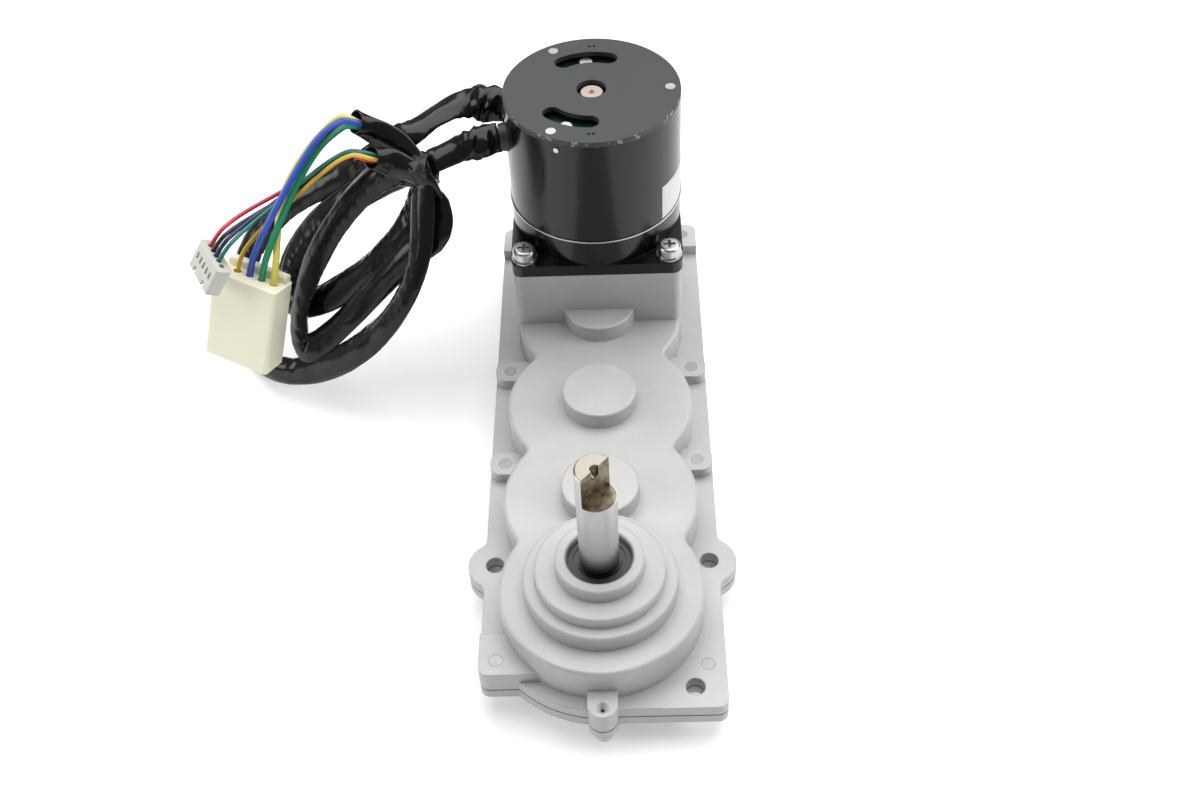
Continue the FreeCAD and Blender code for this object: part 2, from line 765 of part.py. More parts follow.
def make_motor_flange():
    half = motor_flange_half
    plate = rounded_box(-half, half, motor_y - half, motor_y + half, riser_top, motor_flange_top, motor_flange_corner)
    bell = cyl(0, motor_y, riser_top, bell_top, motor_radius)
    bell = bell.makeChamfer(seam_chamfer, flat_edges(bell, bell_top))
    pilot = cyl(0, motor_y, riser_top - pilot_depth, riser_top, pilot_radius)
    shell = fused([plate, bell, pilot])
    floor_z = riser_top + bell_floor
    bearing_top = floor_z + wave_washer_height + motor_front_bearing[2]
    cup = motor_front_bearing[1] + bearing_cup_wall
    cutters = [ring(0, motor_y, motor_flange_top, bell_top, motor_radius - motor_wall, cup),
               cyl(0, motor_y, bearing_top, bell_top, cup + cup_clearance),
               cyl(0, motor_y, floor_z, bell_top, motor_front_bearing[1]),
               cyl(0, motor_y, riser_top - pilot_depth, floor_z, motor_shaft_radius + front_bore_gap)]
    cutters += [cyl(x, y, riser_top, motor_flange_top, screw_radius + screw_clearance) for x, y in motor_screws]
    keep("motor_front_flange", holes(shell, cutters))


def kidney(start, end, bottom, top):
    """Slot along an arc round the motor's axis, with round ends."""
    band = ring(0, motor_y, bottom, top, cap_slot_ring + cap_slot_half_width, cap_slot_ring - cap_slot_half_width)
    far = 2 * motor_radius
    corners = [V(0, motor_y, bottom)]
    for degrees in (start, (start + end) / 2, end):
        x, y = on_ring(motor_y, far, degrees)
        corners.append(V(x, y, bottom))
    wedge = Part.Face(Part.makePolygon(corners + [corners[0]])).extrude(V(0, 0, top - bottom))
    ends = [cyl(*on_ring(motor_y, cap_slot_ring, degrees), bottom, top, cap_slot_half_width)
            for degrees in (start, end)]
    return fused([band.common(wedge)] + ends)


def make_motor_can():
    inner = motor_radius - motor_wall
    tube = ring(0, motor_y, bell_top, can_top, motor_radius, inner)
    web = cyl(0, motor_y, web_bottom, web_bottom + web_thickness, inner)
    hub = cyl(0, motor_y, hub_bottom, hub_top, hub_radius)
    posts = [cyl(*on_ring(motor_y, cap_screw_ring, degrees), web_bottom, can_top, post_radius)
             for degrees in cap_screw_angles]
    stands = [cyl(*on_ring(motor_y, board_screw_ring, degrees), web_bottom, board_bottom, stand_radius)
              for degrees in board_screw_angles]
    shell = fused([tube, web, hub] + posts + stands)
    cutters = [cyl(0, motor_y, rear_pocket, hub_top, motor_rear_bearing[1]),
               cyl(0, motor_y, hub_bottom, rear_pocket, motor_shaft_radius + hub_bore_gap)]
    for degrees in cable_angles:
        hole = Part.makeCylinder(grommet_neck_radius, 2 * motor_wall, V(inner - motor_wall / 2, 0, cable_height),
                                 V(1, 0, 0))
        cutters.append(radial(hole, degrees))
    cutters += [cyl(*on_ring(motor_y, cap_screw_ring, degrees), can_top - cap_screw_depth, can_top, cap_screw_radius)
                for degrees in cap_screw_angles]
    cutters += [cyl(*on_ring(motor_y, board_screw_ring, degrees), board_bottom - board_screw_depth, board_bottom,
                    cap_screw_radius)
                for degrees in board_screw_angles]
    keep("motor_can", holes(shell, cutters))

    cap = cyl(0, motor_y, can_top, cap_top, motor_radius)
    cap = cap.makeChamfer(cap_chamfer, flat_edges(cap, cap_top))
    cutters = [cyl(0, motor_y, can_top, cap_top, cap_hole_radius)]
    cutters += [kidney(start, end, can_top, cap_top) for start, end in cap_slots]
    cutters += [cyl(*on_ring(motor_y, cap_pip_ring, degrees), cap_top - cap_pip_depth, cap_top, cap_pip_radius)
                for degrees in cap_pip_angles]
    for degrees in cap_screw_angles:
        x, y = on_ring(motor_y, cap_screw_ring, degrees)
        cutters.append(cyl(x, y, can_top, cap_top, cap_screw_radius))
        cutters.append(cyl(x, y, cap_top - cap_screw_head_height, cap_top, cap_screw_head))
    keep("end_cap", holes(cap, cutters))

    screws = []
    for degrees in cap_screw_angles:
        x, y = on_ring(motor_y, cap_screw_ring, degrees)
        under_head = cap_top - cap_screw_head_height
        stem = cyl(x, y, can_top - cap_screw_depth, under_head, cap_screw_radius)
        screws.append(stem.fuse(cyl(x, y, under_head, cap_top, cap_screw_head)))
    keep("end_cap_screws", *screws)
    pin = Part.makeCylinder(side_screw_radius, side_screw_length - side_screw_recess,
                            V(motor_radius, 0, side_screw_height), V(1, 0, 0))
    keep("can_side_screw", radial(pin, side_screw_angle))


def make_board():
    board = ring(0, motor_y, board_bottom, board_bottom + board_thickness, board_outer, board_inner)
    places = [on_ring(motor_y, board_screw_ring, degrees) for degrees in board_screw_angles]
    board = holes(board, [cyl(x, y, board_bottom, board_top, cap_screw_radius) for x, y in places])
    parts = []
    for degrees, radius, size, height in board_chips:
        x, y = on_ring(motor_y, radius, degrees)
        chip = block(x - size / 2, x + size / 2, y - size / 2, y + size / 2, board_top, board_top + height)
        chip.rotate(V(x, y, 0), UP, degrees)
        parts.append(chip)
    keep("circuit_board", board)
    keep("board_components", *parts)
    heads = []
    for x, y in places:
        stem = cyl(x, y, board_bottom - board_screw_depth, board_top, cap_screw_radius)
        head_top = board_top + board_screw_head_height
        head = cyl(x, y, board_top, head_top, board_screw_head)
        head = head.makeFillet(board_screw_head_round, flat_edges(head, head_top))
        heads.append(stem.fuse(head))
    keep("board_screws", *heads)


def make_stator():
    inner = motor_radius - motor_wall
    top = stator_bottom + stator_length
    core = ring(0, motor_y, stator_bottom, top, inner, inner - stator_yoke)
    teeth, coils = [], []
    for index in range(stator_teeth):
        degrees = 360 * (index + 0.5) / stator_teeth
        tooth = block(stator_bore, inner - stator_yoke / 2, -tooth_width / 2, tooth_width / 2, stator_bottom, top)
        side = tooth_width / 2 + winding_depth
        low = stator_bore + tooth_shoe + winding_gap
        high = math.sqrt((inner - stator_yoke - winding_gap) ** 2 - side ** 2)
        coil = rounded_box(low, high, -side, side, stator_bottom - winding_overhang, top + winding_overhang,
                           winding_round)
        coil = coil.cut(block(low, high, -tooth_width / 2, tooth_width / 2, stator_bottom, top))
        for solid, group in ((tooth, teeth), (coil, coils)):
            solid.rotate(V(0, 0, 0), UP, degrees)
            solid.translate(V(0, motor_y, 0))
            group.append(solid)
        shoe = ring(0, 0, stator_bottom, top, stator_bore + tooth_shoe, stator_bore)
        shoe = shoe.common(block(0, inner, -tooth_shoe_half, tooth_shoe_half, stator_bottom, top))
        shoe.rotate(V(0, 0, 0), UP, degrees)
        shoe.translate(V(0, motor_y, 0))
        teeth.append(shoe)
    core = fused([core] + teeth).cut(cyl(0, motor_y, stator_bottom, top, stator_bore))
    keep("stator_core", core)
    keep("stator_windings", *coils)


def make_rotor():
    pinion = gear(motor_y, motor_pinion_teeth, first_module, first_shift, motor_pinion_bottom,
                  motor_pinion_width, 270 + 180 / motor_pinion_teeth, 2)
    shaft = cyl(0, motor_y, motor_pinion_bottom, motor_shaft_top, motor_shaft_radius)
    shaft = shaft.makeChamfer(motor_shaft_chamfer, flat_edges(shaft, motor_shaft_top))
    shaft = shaft.cut(cone(0, motor_y, motor_shaft_top - motor_shaft_pip_depth, motor_shaft_top, tip_flat,
                           motor_shaft_pip_radius))
    keep("rotor_shaft", fused([shaft, pinion]))
    top = stator_bottom + stator_length
    keep("rotor_core", ring(0, motor_y, stator_bottom, top, rotor_core_radius, motor_shaft_radius))
    magnets = []
    span = 360 / magnet_count
    shell = ring(0, 0, stator_bottom + magnet_inset, top - magnet_inset, magnet_radius, rotor_core_radius)
    for index in range(magnet_count):
        reach = 2 * magnet_radius
        half = math.radians(span / 2 - magnet_gap_angle)
        wedge = Part.makePolygon([V(0, 0, stator_bottom), V(reach * math.cos(half), -reach * math.sin(half),
                                                            stator_bottom),
                                  V(reach * math.cos(half), reach * math.sin(half), stator_bottom),
                                  V(0, 0, stator_bottom)])
        magnet = shell.common(Part.Face(wedge).extrude(V(0, 0, stator_length)))
        magnet.rotate(V(0, 0, 0), UP, span * index)
        magnet.translate(V(0, motor_y, 0))
        magnets.append(magnet)
    keep("rotor_magnets", *magnets)
    sensor_top = hub_bottom - sensor_gap
    keep("sensor_magnet", ring(0, motor_y, sensor_top - sensor_magnet_height, sensor_top,
                               sensor_magnet_radius, motor_shaft_radius))
    floor_z = riser_top + bell_floor
    front = races(motor_y, floor_z + wave_washer_height, motor_front_bearing)
    rear = races(motor_y, rear_pocket, motor_rear_bearing)
    keep("motor_bearing_outer_rings", front[1], rear[1])
    keep("motor_bearing_inner_rings", front[0], rear[0])
    keep("wave_washer", ring(0, motor_y, floor_z, floor_z + wave_washer_height,
                             motor_front_bearing[1] - wave_washer_gap,
                             motor_front_bearing[1] - wave_washer_gap - wave_washer_band))


def make_motor_screws():
    flats, springs, screws = [], [], []
    for x, y in motor_screws:
        z = motor_flange_top
        flats.append(ring(x, y, z, z + flat_washer_height, flat_washer_radius, washer_bore))
        z += flat_washer_height
        spring = ring(x, y, z, z + spring_washer_height, spring_washer_radius, washer_bore)
        springs.append(spring.cut(block(x, x + spring_washer_radius, y - split_half, y + split_half, z,
                                       z + spring_washer_height)))
        z += spring_washer_height
        head = cyl(x, y, z, z + pan_head_height, pan_head_radius)
        head = head.makeFillet(pan_head_round, flat_edges(head, z + pan_head_height))
        low, high = z + pan_head_height - drive_depth, z + pan_head_height
        cross = [block(x - drive_reach, x + drive_reach, y - drive_half, y + drive_half, low, high),
                 block(x - drive_half, x + drive_half, y - drive_reach, y + drive_reach, low, high)]
        stem = cyl(x, y, riser_top - motor_screw_depth, z, screw_radius)
        screws.append(holes(stem.fuse(head), cross))
    keep("flat_washers", *flats)
    keep("spring_washers", *springs)
    keep("motor_screws", *screws)


def make_label():
    """Thin paper label wrapped on the right side of the can."""
    low = bell_top + label_lift
    film = ring(0, 0, low, low + label_height, motor_radius + label_thickness, motor_radius)
    wedge = block(0, 2 * motor_radius, -label_half_width, label_half_width, low, can_top)
    film = film.common(wedge)
    keep("motor_label", radial(film, label_angle))


def tube(points, radius, name):
    """Round cord along straight runs joined by tangent arcs, each as large as its runs allow."""
    edges = []
    start = points[0]
    radii = []
    for before, corner, after in zip(points, points[1:], points[2:]):
        inward = (before - corner).normalize()
        outward = (after - corner).normalize()
        turn = math.pi - inward.getAngle(outward)
        shorter = min((before - corner).Length, (after - corner).Length)
        cut = 0.45 * shorter
        bend = cut / math.tan(turn / 2)
        radii.append(bend)
        arc_start = corner + inward * cut
        arc_end = corner + outward * cut
        bisector = (inward + outward).normalize()
        middle = corner + bisector * (bend / math.cos(turn / 2) - bend)
        edges.append(Part.LineSegment(start, arc_start).toShape())
        edges.append(Part.Arc(arc_start, middle, arc_end).toShape())
        start = arc_end
    edges.append(Part.LineSegment(start, points[-1]).toShape())
    path = Part.Wire(edges)
    first = (points[1] - points[0]).normalize()
    section = Part.Face(Part.Wire(Part.makeCircle(radius, points[0], first)))
    cord = path.makePipe(section)
    share = cord.Volume / (math.pi * radius * radius * path.Length)
    runs = [(b - a).Length for a, b in zip(points, points[1:])]
    print(f"{name}: length {path.Length:.1f}, volume share {share:.3f}, radii",
          " ".join(f"{bend:.1f}" for bend in radii), "runs", " ".join(f"{run:.1f}" for run in runs))
    return cord


# Cable bundle: a flat coil that hangs from the two leads and leans down to the table.
# Its own axes run up the coil, across it, and out of it towards the front.
coil_centre = V(-87.45, motor_y - coil_offset, 48.9)
coil_up = V(0.5676, 0.1668, 0.8062)
coil_out = V(-0.5615, -0.6377, 0.5273)


def coil_frame():
    out = V(coil_out).normalize()
    across = out.cross(coil_up).normalize()
    up = across.cross(out)
    return FreeCAD.Placement(coil_centre, FreeCAD.Rotation(up, across, out, "ZXY"))


COIL = coil_frame()


def coil_point(u, v, w):
    return COIL.multVec(V(u, v, w))


def rounded_outline(corners):
    """Closed outline of straight sides whose corners are tangent arcs; corners are x, y, radius."""
    count = len(corners)
    ends = []
    for index, (x, y, radius) in enumerate(corners):
        here = V(x, y, 0)
        back = (V(*corners[index - 1][:2], 0) - here).normalize()
        ahead = (V(*corners[(index + 1) % count][:2], 0) - here).normalize()
        half = back.getAngle(ahead) / 2
        reach = radius / math.tan(half)
        middle = here + (back + ahead).normalize() * (radius / math.sin(half) - radius)
        ends.append((here + back * reach, middle, here + ahead * reach))
    edges = []
    for index, (start, middle, end) in enumerate(ends):
        edges.append(Part.Arc(start, middle, end).toShape())
        edges.append(Part.LineSegment(end, ends[(index + 1) % count][0]).toShape())
    return Part.Face(Part.Wire(edges))


bundle_outline = ((59, -9, 7), (28, -28, 22), (-34, -27, 20), (-53, -7, 12), (-52, 16, 12), (-26, 54, 14),
                  (4, 52, 16), (59, 18, 8))
bundle_opening = ((30, -6, 6), (-22, -11, 6), (-30, 2, 6), (-12, 20, 7), (12, 22, 7))


def make_bundle():
    half = bundle_thickness / 2
    coil = raised(rounded_outline(bundle_outline), -half, half)
    coil = coil.cut(raised(rounded_outline(bundle_opening), -half, half))
    coil.Placement = COIL
    keep("cable_bundle", coil)
    band = rounded_box(tie_inner_end - tie_band, tie_outer_end + tie_band, -tie_width / 2, tie_width / 2,
                       -half - tie_band, half + tie_band, tie_round)
    band = band.cut(block(tie_inner_end, tie_outer_end, -tie_width, tie_width, -half, half))
    band.Placement = COIL
    keep("cable_tie", band)


def lead_start(degrees, lift=0.0):
    """Point where a sleeve leaves its grommet on the motor's side."""
    x, y = on_ring(motor_y, motor_radius + grommet_height + lift, degrees)
    return V(x, y, cable_height)


# Leads, in the object's axes, from the motor to the bundle
phase_lead_route = [lead_start(cable_angles[0]), lead_start(cable_angles[0], 6.6), V(-42.7, 161.2, 93.6),
                    V(-49.0, 158.6, 93.5), V(-54.8, 154.3, 92.9), V(-60.3, 149.3, 92.0), V(-65.8, 145.0, 90.9)]
hall_lead_route = [lead_start(cable_angles[1]), V(-38.4, 139.7, 92.7), V(-44.6, 137.5, 91.9),
                   V(-50.6, 134.9, 90.7), V(-56.6, 132.2, 89.4)]

# Tails and wires, in the bundle's axes
phase_tail_route = ((57, -2, 1.5), (56.6, 3.7, 2.5), (55.7, 9.1, 4.5), (54.4, 14.2, 7), (52.8, 19.3, 9.3),
                    (51, 24.5, 11))
hall_tail_route = ((51.3, -8, 6.9), (51.1, -3.4, 7.7), (50.7, 0.9, 9.2), (49.9, 5.1, 11), (48.9, 9.3, 12.6),
                   (47.4, 13.6, 13.5))
phase_wire_routes = {
    "yellow": ((54.1, 20.4, 8.1), (52.4, 25.4, 9.8), (45.8, 30.4, 10.9), (37.8, 32.7, 12.7), (29.1, 33, 14.7),
               (20.5, 31.8, 16.9), (12.5, 28.9, 18.6), (5.5, 24.2, 19.8), (-0.7, 18, 21.3), (-6.7, 11.9, 22.9),
               (-14.5, 9.5, 21.3)),
    "blue": ((53.8, 19.2, 11.5), (52.1, 24.2, 13.1), (45.8, 29, 14.2), (38.4, 29.5, 16.9), (30.5, 28, 19.9),
             (22.5, 25.9, 22.6), (14.4, 24, 24.6), (6.1, 22.5, 25.8), (-2.2, 21.4, 26.3), (-10.3, 20.2, 26.1),
             (-17.7, 17.9, 24.6)),
    "green": ((50.9, 19, 9), (49.2, 24, 10.6), (43.3, 28.5, 11.7), (36.2, 28.9, 14.4), (28.7, 27.3, 17.4),
              (21.2, 25, 19.9), (13.6, 22.5, 21.8), (6, 20.2, 23.2), (-1.6, 18, 24.2), (-9.1, 15.9, 24.4),
              (-16.1, 13.7, 23))}
hall_wire_routes = {
    "yellow": ((47.9, 9.5, 15.1), (46.7, 12.9, 15.8), (39.8, 17.3, 15.9), (32.2, 21.2, 14.6), (24.4, 24.6, 13.2),
               (16.4, 27.3, 12.8), (8.6, 28.8, 14.2), (1.3, 28.8, 17.8), (-5.3, 27.2, 23.2), (-11.7, 24.5, 27.8),
               (-19.4, 22.1, 26.3)),
    "red": ((48.6, 10.8, 10.4), (47.4, 14.1, 11.1), (40.4, 18.6, 11.3), (32.7, 23, 10.6), (24.9, 27.4, 10),
            (17.5, 31.4, 10.2), (11, 34.2, 12.3), (5.8, 35.2, 16.7), (2.1, 34.2, 23.7), (-0.6, 31.6, 32),
            (-4.6, 29.2, 38.3), (-13, 29.3, 37.8)),
    "black": ((46.9, 9.9, 11.8), (45.7, 13.2, 12.5), (39, 17.5, 12.7), (31.5, 21.8, 11.8), (24, 25.9, 10.9),
              (16.7, 29.4, 11), (10.3, 31.8, 12.9), (5.1, 32.5, 17.2), (1.4, 31.3, 24.1), (-1.3, 28.9, 32.3),
              (-5, 26.8, 38.7), (-13, 26.9, 38.2)),
    "blue": ((49.8, 10.9, 11.9), (48.7, 14.2, 12.6), (41.9, 18.6, 12.8), (34.2, 22.7, 12.4), (26.3, 26.4, 12),
             (18.6, 29.4, 12.5), (11.8, 31.1, 14.5), (6.2, 31.2, 18.8), (2.2, 29.5, 25.4), (-0.9, 26.7, 33.2),
             (-5, 24.3, 39.2), (-13.1, 24.4, 38.7)),
    "green": ((50.1, 10.5, 14.1), (48.9, 13.9, 14.8), (42.2, 18.1, 14.9), (34.8, 22.2, 14.5), (27, 25.7, 13.9),
              (19.5, 28.4, 14.1), (12.6, 29.8, 15.6), (6.8, 29.4, 20), (2.5, 27.4, 26.6), (-0.8, 24.4, 33.9),
              (-5.2, 21.8, 39.6), (-13.1, 21.9, 39.1))}

# Connectors in the bundle's axes: centre, direction towards the wires, normal of the broad face
phase_connector_place = ((-29.9, 13.0, 21.6), (0.938, 0.287, 0.193), (-0.071, -0.386, 0.920))
hall_connector_place = ((-15.5, 24.4, 38.5), (0.998, -0.012, 0.064), (-0.061, 0.170, 0.984))


def make_grommets():
    grommets = []
    for degrees in cable_angles:
        collar = Part.makeCone(grommet_radius, sleeve_radius + grommet_lip, grommet_height + grommet_lip,
                               V(motor_radius - grommet_lip, 0, cable_height), V(1, 0, 0))
        neck = Part.makeCylinder(grommet_neck_radius, motor_wall, V(motor_radius - motor_wall, 0, cable_height),
                                 V(1, 0, 0))
        hole = Part.makeCylinder(grommet_neck_radius, motor_radius, V(0, 0, cable_height), V(1, 0, 0))
        wall_round = cyl(0, 0, bell_top, can_top, motor_radius).cut(hole)
        grommets.append(radial(collar.fuse(neck).cut(wall_round), degrees))
    keep("cable_grommets", *grommets)


def make_sleeves():
    routes = {"phase_cable_lead": phase_lead_route, "hall_cable_lead": hall_lead_route,
              "phase_cable_tail": [coil_point(*point) for point in phase_tail_route],
              "hall_cable_tail": [coil_point(*point) for point in hall_tail_route]}
    for name, route in routes.items():
        keep(name, tube(route, sleeve_radius, name))


def make_wires():
    for kind, radius, routes in (("phase", phase_wire_radius, phase_wire_routes),
                                 ("hall", hall_wire_radius, hall_wire_routes)):
        for colour, route in routes.items():
            name = f"{kind}_wire_{colour}"
            keep(name, tube([coil_point(*point) for point in route], radius, name))


def connector_frame(place):
    centre, along, out = place
    out = V(*out).normalize()
    across = out.cross(V(*along)).normalize()
    local = FreeCAD.Placement(V(*centre), FreeCAD.Rotation(across.cross(out), across, out, "ZXY"))
    return COIL.multiply(local)


def connector_body(length, width, thickness, cavities, wire_radius):
    """Housing with rounded long edges and one round wire hole for each cavity."""
    body = block(-length / 2, length / 2, -width / 2, width / 2, -thickness / 2, thickness / 2)
    long_edges = [edge for edge in body.Edges if edge.BoundBox.XLength > length - 0.1]
    body = body.makeFillet(connector_round, long_edges)
    wire_holes = [Part.makeCylinder(wire_radius + cavity_gap, cavity_depth + back_wall_rise,
                                    V(length / 2 - cavity_depth, across, 0), V(1, 0, 0)) for across in cavities]
    return body, wire_holes


def make_phase_connector():
    length, width, thickness = phase_connector_size
    body, cutters = connector_body(length, width, thickness, phase_cavities, phase_wire_radius)
    wall_end = length / 2 + back_wall_rise
    side = width / 2 - connector_round
    back_wall = block(length / 2 - back_wall_overlap, wall_end, -side, side,
                      -thickness / 2, -thickness / 2 + back_wall_thickness)
    top_edges = [edge for edge in back_wall.Edges
                 if edge.BoundBox.XMin > wall_end - 0.1 or edge.BoundBox.XLength > 4 and edge.BoundBox.ZMin > 0]
    body = body.fuse(back_wall.makeFillet(connector_round, top_edges)).removeSplitter()
    half = phase_socket / 2
    for across in phase_cavities:
        cutters.append(block(-length / 2, -length / 2 + phase_socket_depth, across - half, across + half,
                             -half, half))
    body = holes(body, cutters)
    body.Placement = connector_frame(phase_connector_place)
    keep("phase_connector", body)


def make_hall_connector():
    length, width, thickness = hall_connector_size
    body, cutters = connector_body(length, width, thickness, hall_cavities, hall_wire_radius)
    side = width / 2 - connector_round
    half = hall_socket_height / 2
    cutters.append(block(-length / 2, -length / 2 + hall_socket_depth, -side, side, -half, half))
    for across in hall_cavities:
        cutters.append(block(-window_half, window_length - window_half, across - window_half, across + window_half,
                             thickness / 2 - window_depth, thickness / 2))
    for way in (-1, 1):
        notch = way * side / 2
        cutters.append(block(-length / 2, -length / 2 + notch_depth, notch - notch_half, notch + notch_half, half,
                             thickness / 2))
    body = holes(body, cutters)
    body.Placement = connector_frame(hall_connector_place)
    keep("hall_connector", body)


def main():
    make_front_housing()
    make_back_cover()
    make_gasket()
    make_housing_screws()
    make_seal()
    make_output_shaft()
    make_gear_train()
    make_motor_flange()
    make_motor_can()
    make_board()
    make_stator()
    make_rotor()
    make_motor_screws()
    make_label()
    make_bundle()
    make_grommets()
    make_sleeves()
    make_wires()
    make_phase_connector()
    make_hall_connector()
    os.makedirs("parts", exist_ok=True)
    for name, shape in NODES.items():
        if not shape.isValid() or shape.Volume <= 0:
            raise ValueError(f"{name} is not a sound solid")
        shape.exportStep(f"parts/{name}.step")
        print(name, len(shape.Solids), round(shape.Volume, 1))


main()
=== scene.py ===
"""Visual model of a brushless gear motor: its castings, motor, cables and connectors."""
import bmesh
import bpy
import math
from mathutils import Matrix, Vector, noise


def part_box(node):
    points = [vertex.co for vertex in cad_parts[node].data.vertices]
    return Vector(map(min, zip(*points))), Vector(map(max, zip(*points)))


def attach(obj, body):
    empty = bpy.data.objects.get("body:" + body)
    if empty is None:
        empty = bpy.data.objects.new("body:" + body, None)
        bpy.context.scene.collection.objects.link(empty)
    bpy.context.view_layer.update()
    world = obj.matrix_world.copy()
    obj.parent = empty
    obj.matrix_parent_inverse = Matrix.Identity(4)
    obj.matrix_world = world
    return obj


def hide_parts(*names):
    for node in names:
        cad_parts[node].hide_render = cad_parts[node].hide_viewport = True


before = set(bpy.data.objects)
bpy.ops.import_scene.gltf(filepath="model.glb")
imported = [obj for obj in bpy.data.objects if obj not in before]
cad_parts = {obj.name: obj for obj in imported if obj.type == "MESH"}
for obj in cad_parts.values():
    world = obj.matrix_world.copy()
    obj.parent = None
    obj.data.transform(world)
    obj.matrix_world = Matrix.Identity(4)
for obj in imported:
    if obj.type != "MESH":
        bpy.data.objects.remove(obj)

bl_info = {
    "name": "Gear motor",
    "version": (1, 0, 0),
    "blender": (4, 5, 0),
    "location": "3D View > Sidebar > Gear motor",
    "description": "Builds the cables, small parts, finishes and photo stage of a brushless gear motor",
    "category": "Object",
}

BODY = "gearbox"
MOTOR_Y = 0.146225
CAN_RADIUS = 0.030
SHAFT_TOP, SHAFT_RADIUS, HALF_ROUND = 0.0843, 0.006, 0.012
SEAL_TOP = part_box("output_seal")[1][2]
CAN_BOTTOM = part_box("motor_can")[0][2]

# Bundle's own axes, as in the part's source: up the coil, across it, and out of it to the front
COIL_CENTRE = Vector((-0.08745, 0.12127, 0.0489))
COIL_OUT = Vector((-0.5615, -0.6377, 0.5273)).normalized()
COIL_ACROSS = COIL_OUT.cross(Vector((0.5676, 0.1668, 0.8062))).normalized()
COIL_UP = COIL_ACROSS.cross(COIL_OUT)


def coil_at(u, v, w):
    """A point given in the bundle's axes in millimetres, in the object's axes in metres."""
    return COIL_CENTRE + (COIL_UP * u + COIL_ACROSS * v + COIL_OUT * w) / 1000


def motor_side(degrees, reach, height):
    """A point round the motor's axis, in metres."""
    angle = math.radians(degrees)
    return Vector((reach * math.cos(angle), MOTOR_Y + reach * math.sin(angle), height))


# Routes of the cords: the leads in metres, the rest in millimetres in the bundle's axes. They are those of
# the part's source, but for the tails and the wires' first points, which follow the sleeves' mouths in the
# photograph.
PHASE_LEAD = [motor_side(157, 0.0324, 0.093), motor_side(157, 0.039, 0.093), (-0.0427, 0.1612, 0.0936),
              (-0.049, 0.1586, 0.0935), (-0.0548, 0.1543, 0.0929), (-0.0603, 0.1493, 0.092),
              (-0.0658, 0.145, 0.0909)]
HALL_LEAD = [motor_side(189, 0.0324, 0.093), (-0.0384, 0.1397, 0.0927), (-0.0446, 0.1375, 0.0919),
             (-0.0506, 0.1349, 0.0907), (-0.0566, 0.1322, 0.0894)]
PHASE_TAIL = [(53.4, -5.5, 3.6), (53.8, 1.6, 4), (54, 8.2, 5), (52.6, 14, 7), (51.6, 19.3, 10.5),
              (51.6, 23.8, 14.8)]
HALL_TAIL = [(51.6, -8.8, 3), (52.4, -5, 6.4), (51.6, -1, 7.4), (50, 3, 8.6), (48.4, 6.6, 11.6),
             (47.2, 9.8, 16)]
PHASE_WIRES = {
    "yellow": [(51.4, 19.9, 10.6), (51.5, 24.8, 14.5), (47.3, 29.5, 13.4), (37.8, 32.7, 12.7),
               (29.1, 33, 14.7), (20.5, 31.8, 16.9), (12.5, 28.9, 18.6), (5.5, 24.2, 19.8),
               (-0.7, 18, 21.3), (-6.7, 11.9, 22.9), (-14.5, 9.5, 21.3)],
    "blue": [(51.9, 19.6, 11.3), (51.3, 23.5, 15.2), (46.4, 27.4, 15.6), (38.4, 29.5, 16.9), (30.5, 28, 19.9),
             (22.5, 25.9, 22.6), (14.4, 24, 24.6), (6.1, 22.5, 25.8), (-2.2, 21.4, 26.3), (-10.3, 20.2, 26.1),
             (-17.7, 17.9, 24.6)],
    "green": [(50.9, 19.6, 11), (50, 23.1, 15), (44.4, 26, 14.5), (36.2, 28.9, 14.4), (28.7, 27.3, 17.4),
              (21.2, 25, 19.9), (13.6, 22.5, 21.8), (6, 20.2, 23.2), (-1.6, 18, 24.2), (-9.1, 15.9, 24.4),
              (-16.1, 13.7, 23)]}
HALL_WIRES = {
    "yellow": [(48.3, 6.5, 13.5), (47.6, 8.7, 16.7), (45.1, 13.4, 16.1), (39.8, 17.3, 15.9),
               (32.2, 21.2, 14.6), (24.4, 24.6, 13.2), (16.4, 27.3, 12.8), (8.6, 28.8, 14.2),
               (1.3, 28.8, 17.8), (-5.3, 27.2, 23.2), (-11.7, 24.5, 27.8), (-19.4, 22.1, 26.3)],
    "red": [(46.5, 7.9, 12.8), (45.8, 10.1, 16), (43.8, 14.4, 15.6), (40.4, 18.6, 11.3), (32.7, 23, 10.6),
            (24.9, 27.4, 10), (17.5, 31.4, 10.2), (11, 34.2, 12.3), (5.8, 35.2, 16.7), (2.1, 34.2, 23.7),
            (-0.6, 31.6, 32), (-4.6, 29.2, 38.3), (-13, 29.3, 37.8)],
    "black": [(47.3, 8.6, 12.2), (46.6, 10.8, 15.4), (44.4, 14.9, 15.2), (39, 17.5, 12.7),
              (31.5, 21.8, 11.8), (24, 25.9, 10.9), (16.7, 29.4, 11), (10.3, 31.8, 12.9), (5.1, 32.5, 17.2),
              (1.4, 31.3, 24.1), (-1.3, 28.9, 32.3), (-5, 26.8, 38.7), (-13, 26.9, 38.2)],
    "blue": [(48.4, 8.6, 12.2), (47.7, 10.8, 15.4), (45.1, 14.9, 15.2), (41.9, 18.6, 12.8),
             (34.2, 22.7, 12.4), (26.3, 26.4, 12), (18.6, 29.4, 12.5), (11.8, 31.1, 14.5),
             (6.2, 31.2, 18.8), (2.2, 29.5, 25.4), (-0.9, 26.7, 33.2), (-5, 24.3, 39.2), (-13.1, 24.4, 38.7)],
    "green": [(49.1, 7.9, 12.8), (48.4, 10.1, 16), (45.6, 14.4, 15.6), (42.2, 18.1, 14.9),
              (34.8, 22.2, 14.5), (27, 25.7, 13.9), (19.5, 28.4, 14.1), (12.6, 29.8, 15.6), (6.8, 29.4, 20),
              (2.5, 27.4, 26.6), (-0.8, 24.4, 33.9), (-5.2, 21.8, 39.6), (-13.1, 21.9, 39.1)]}

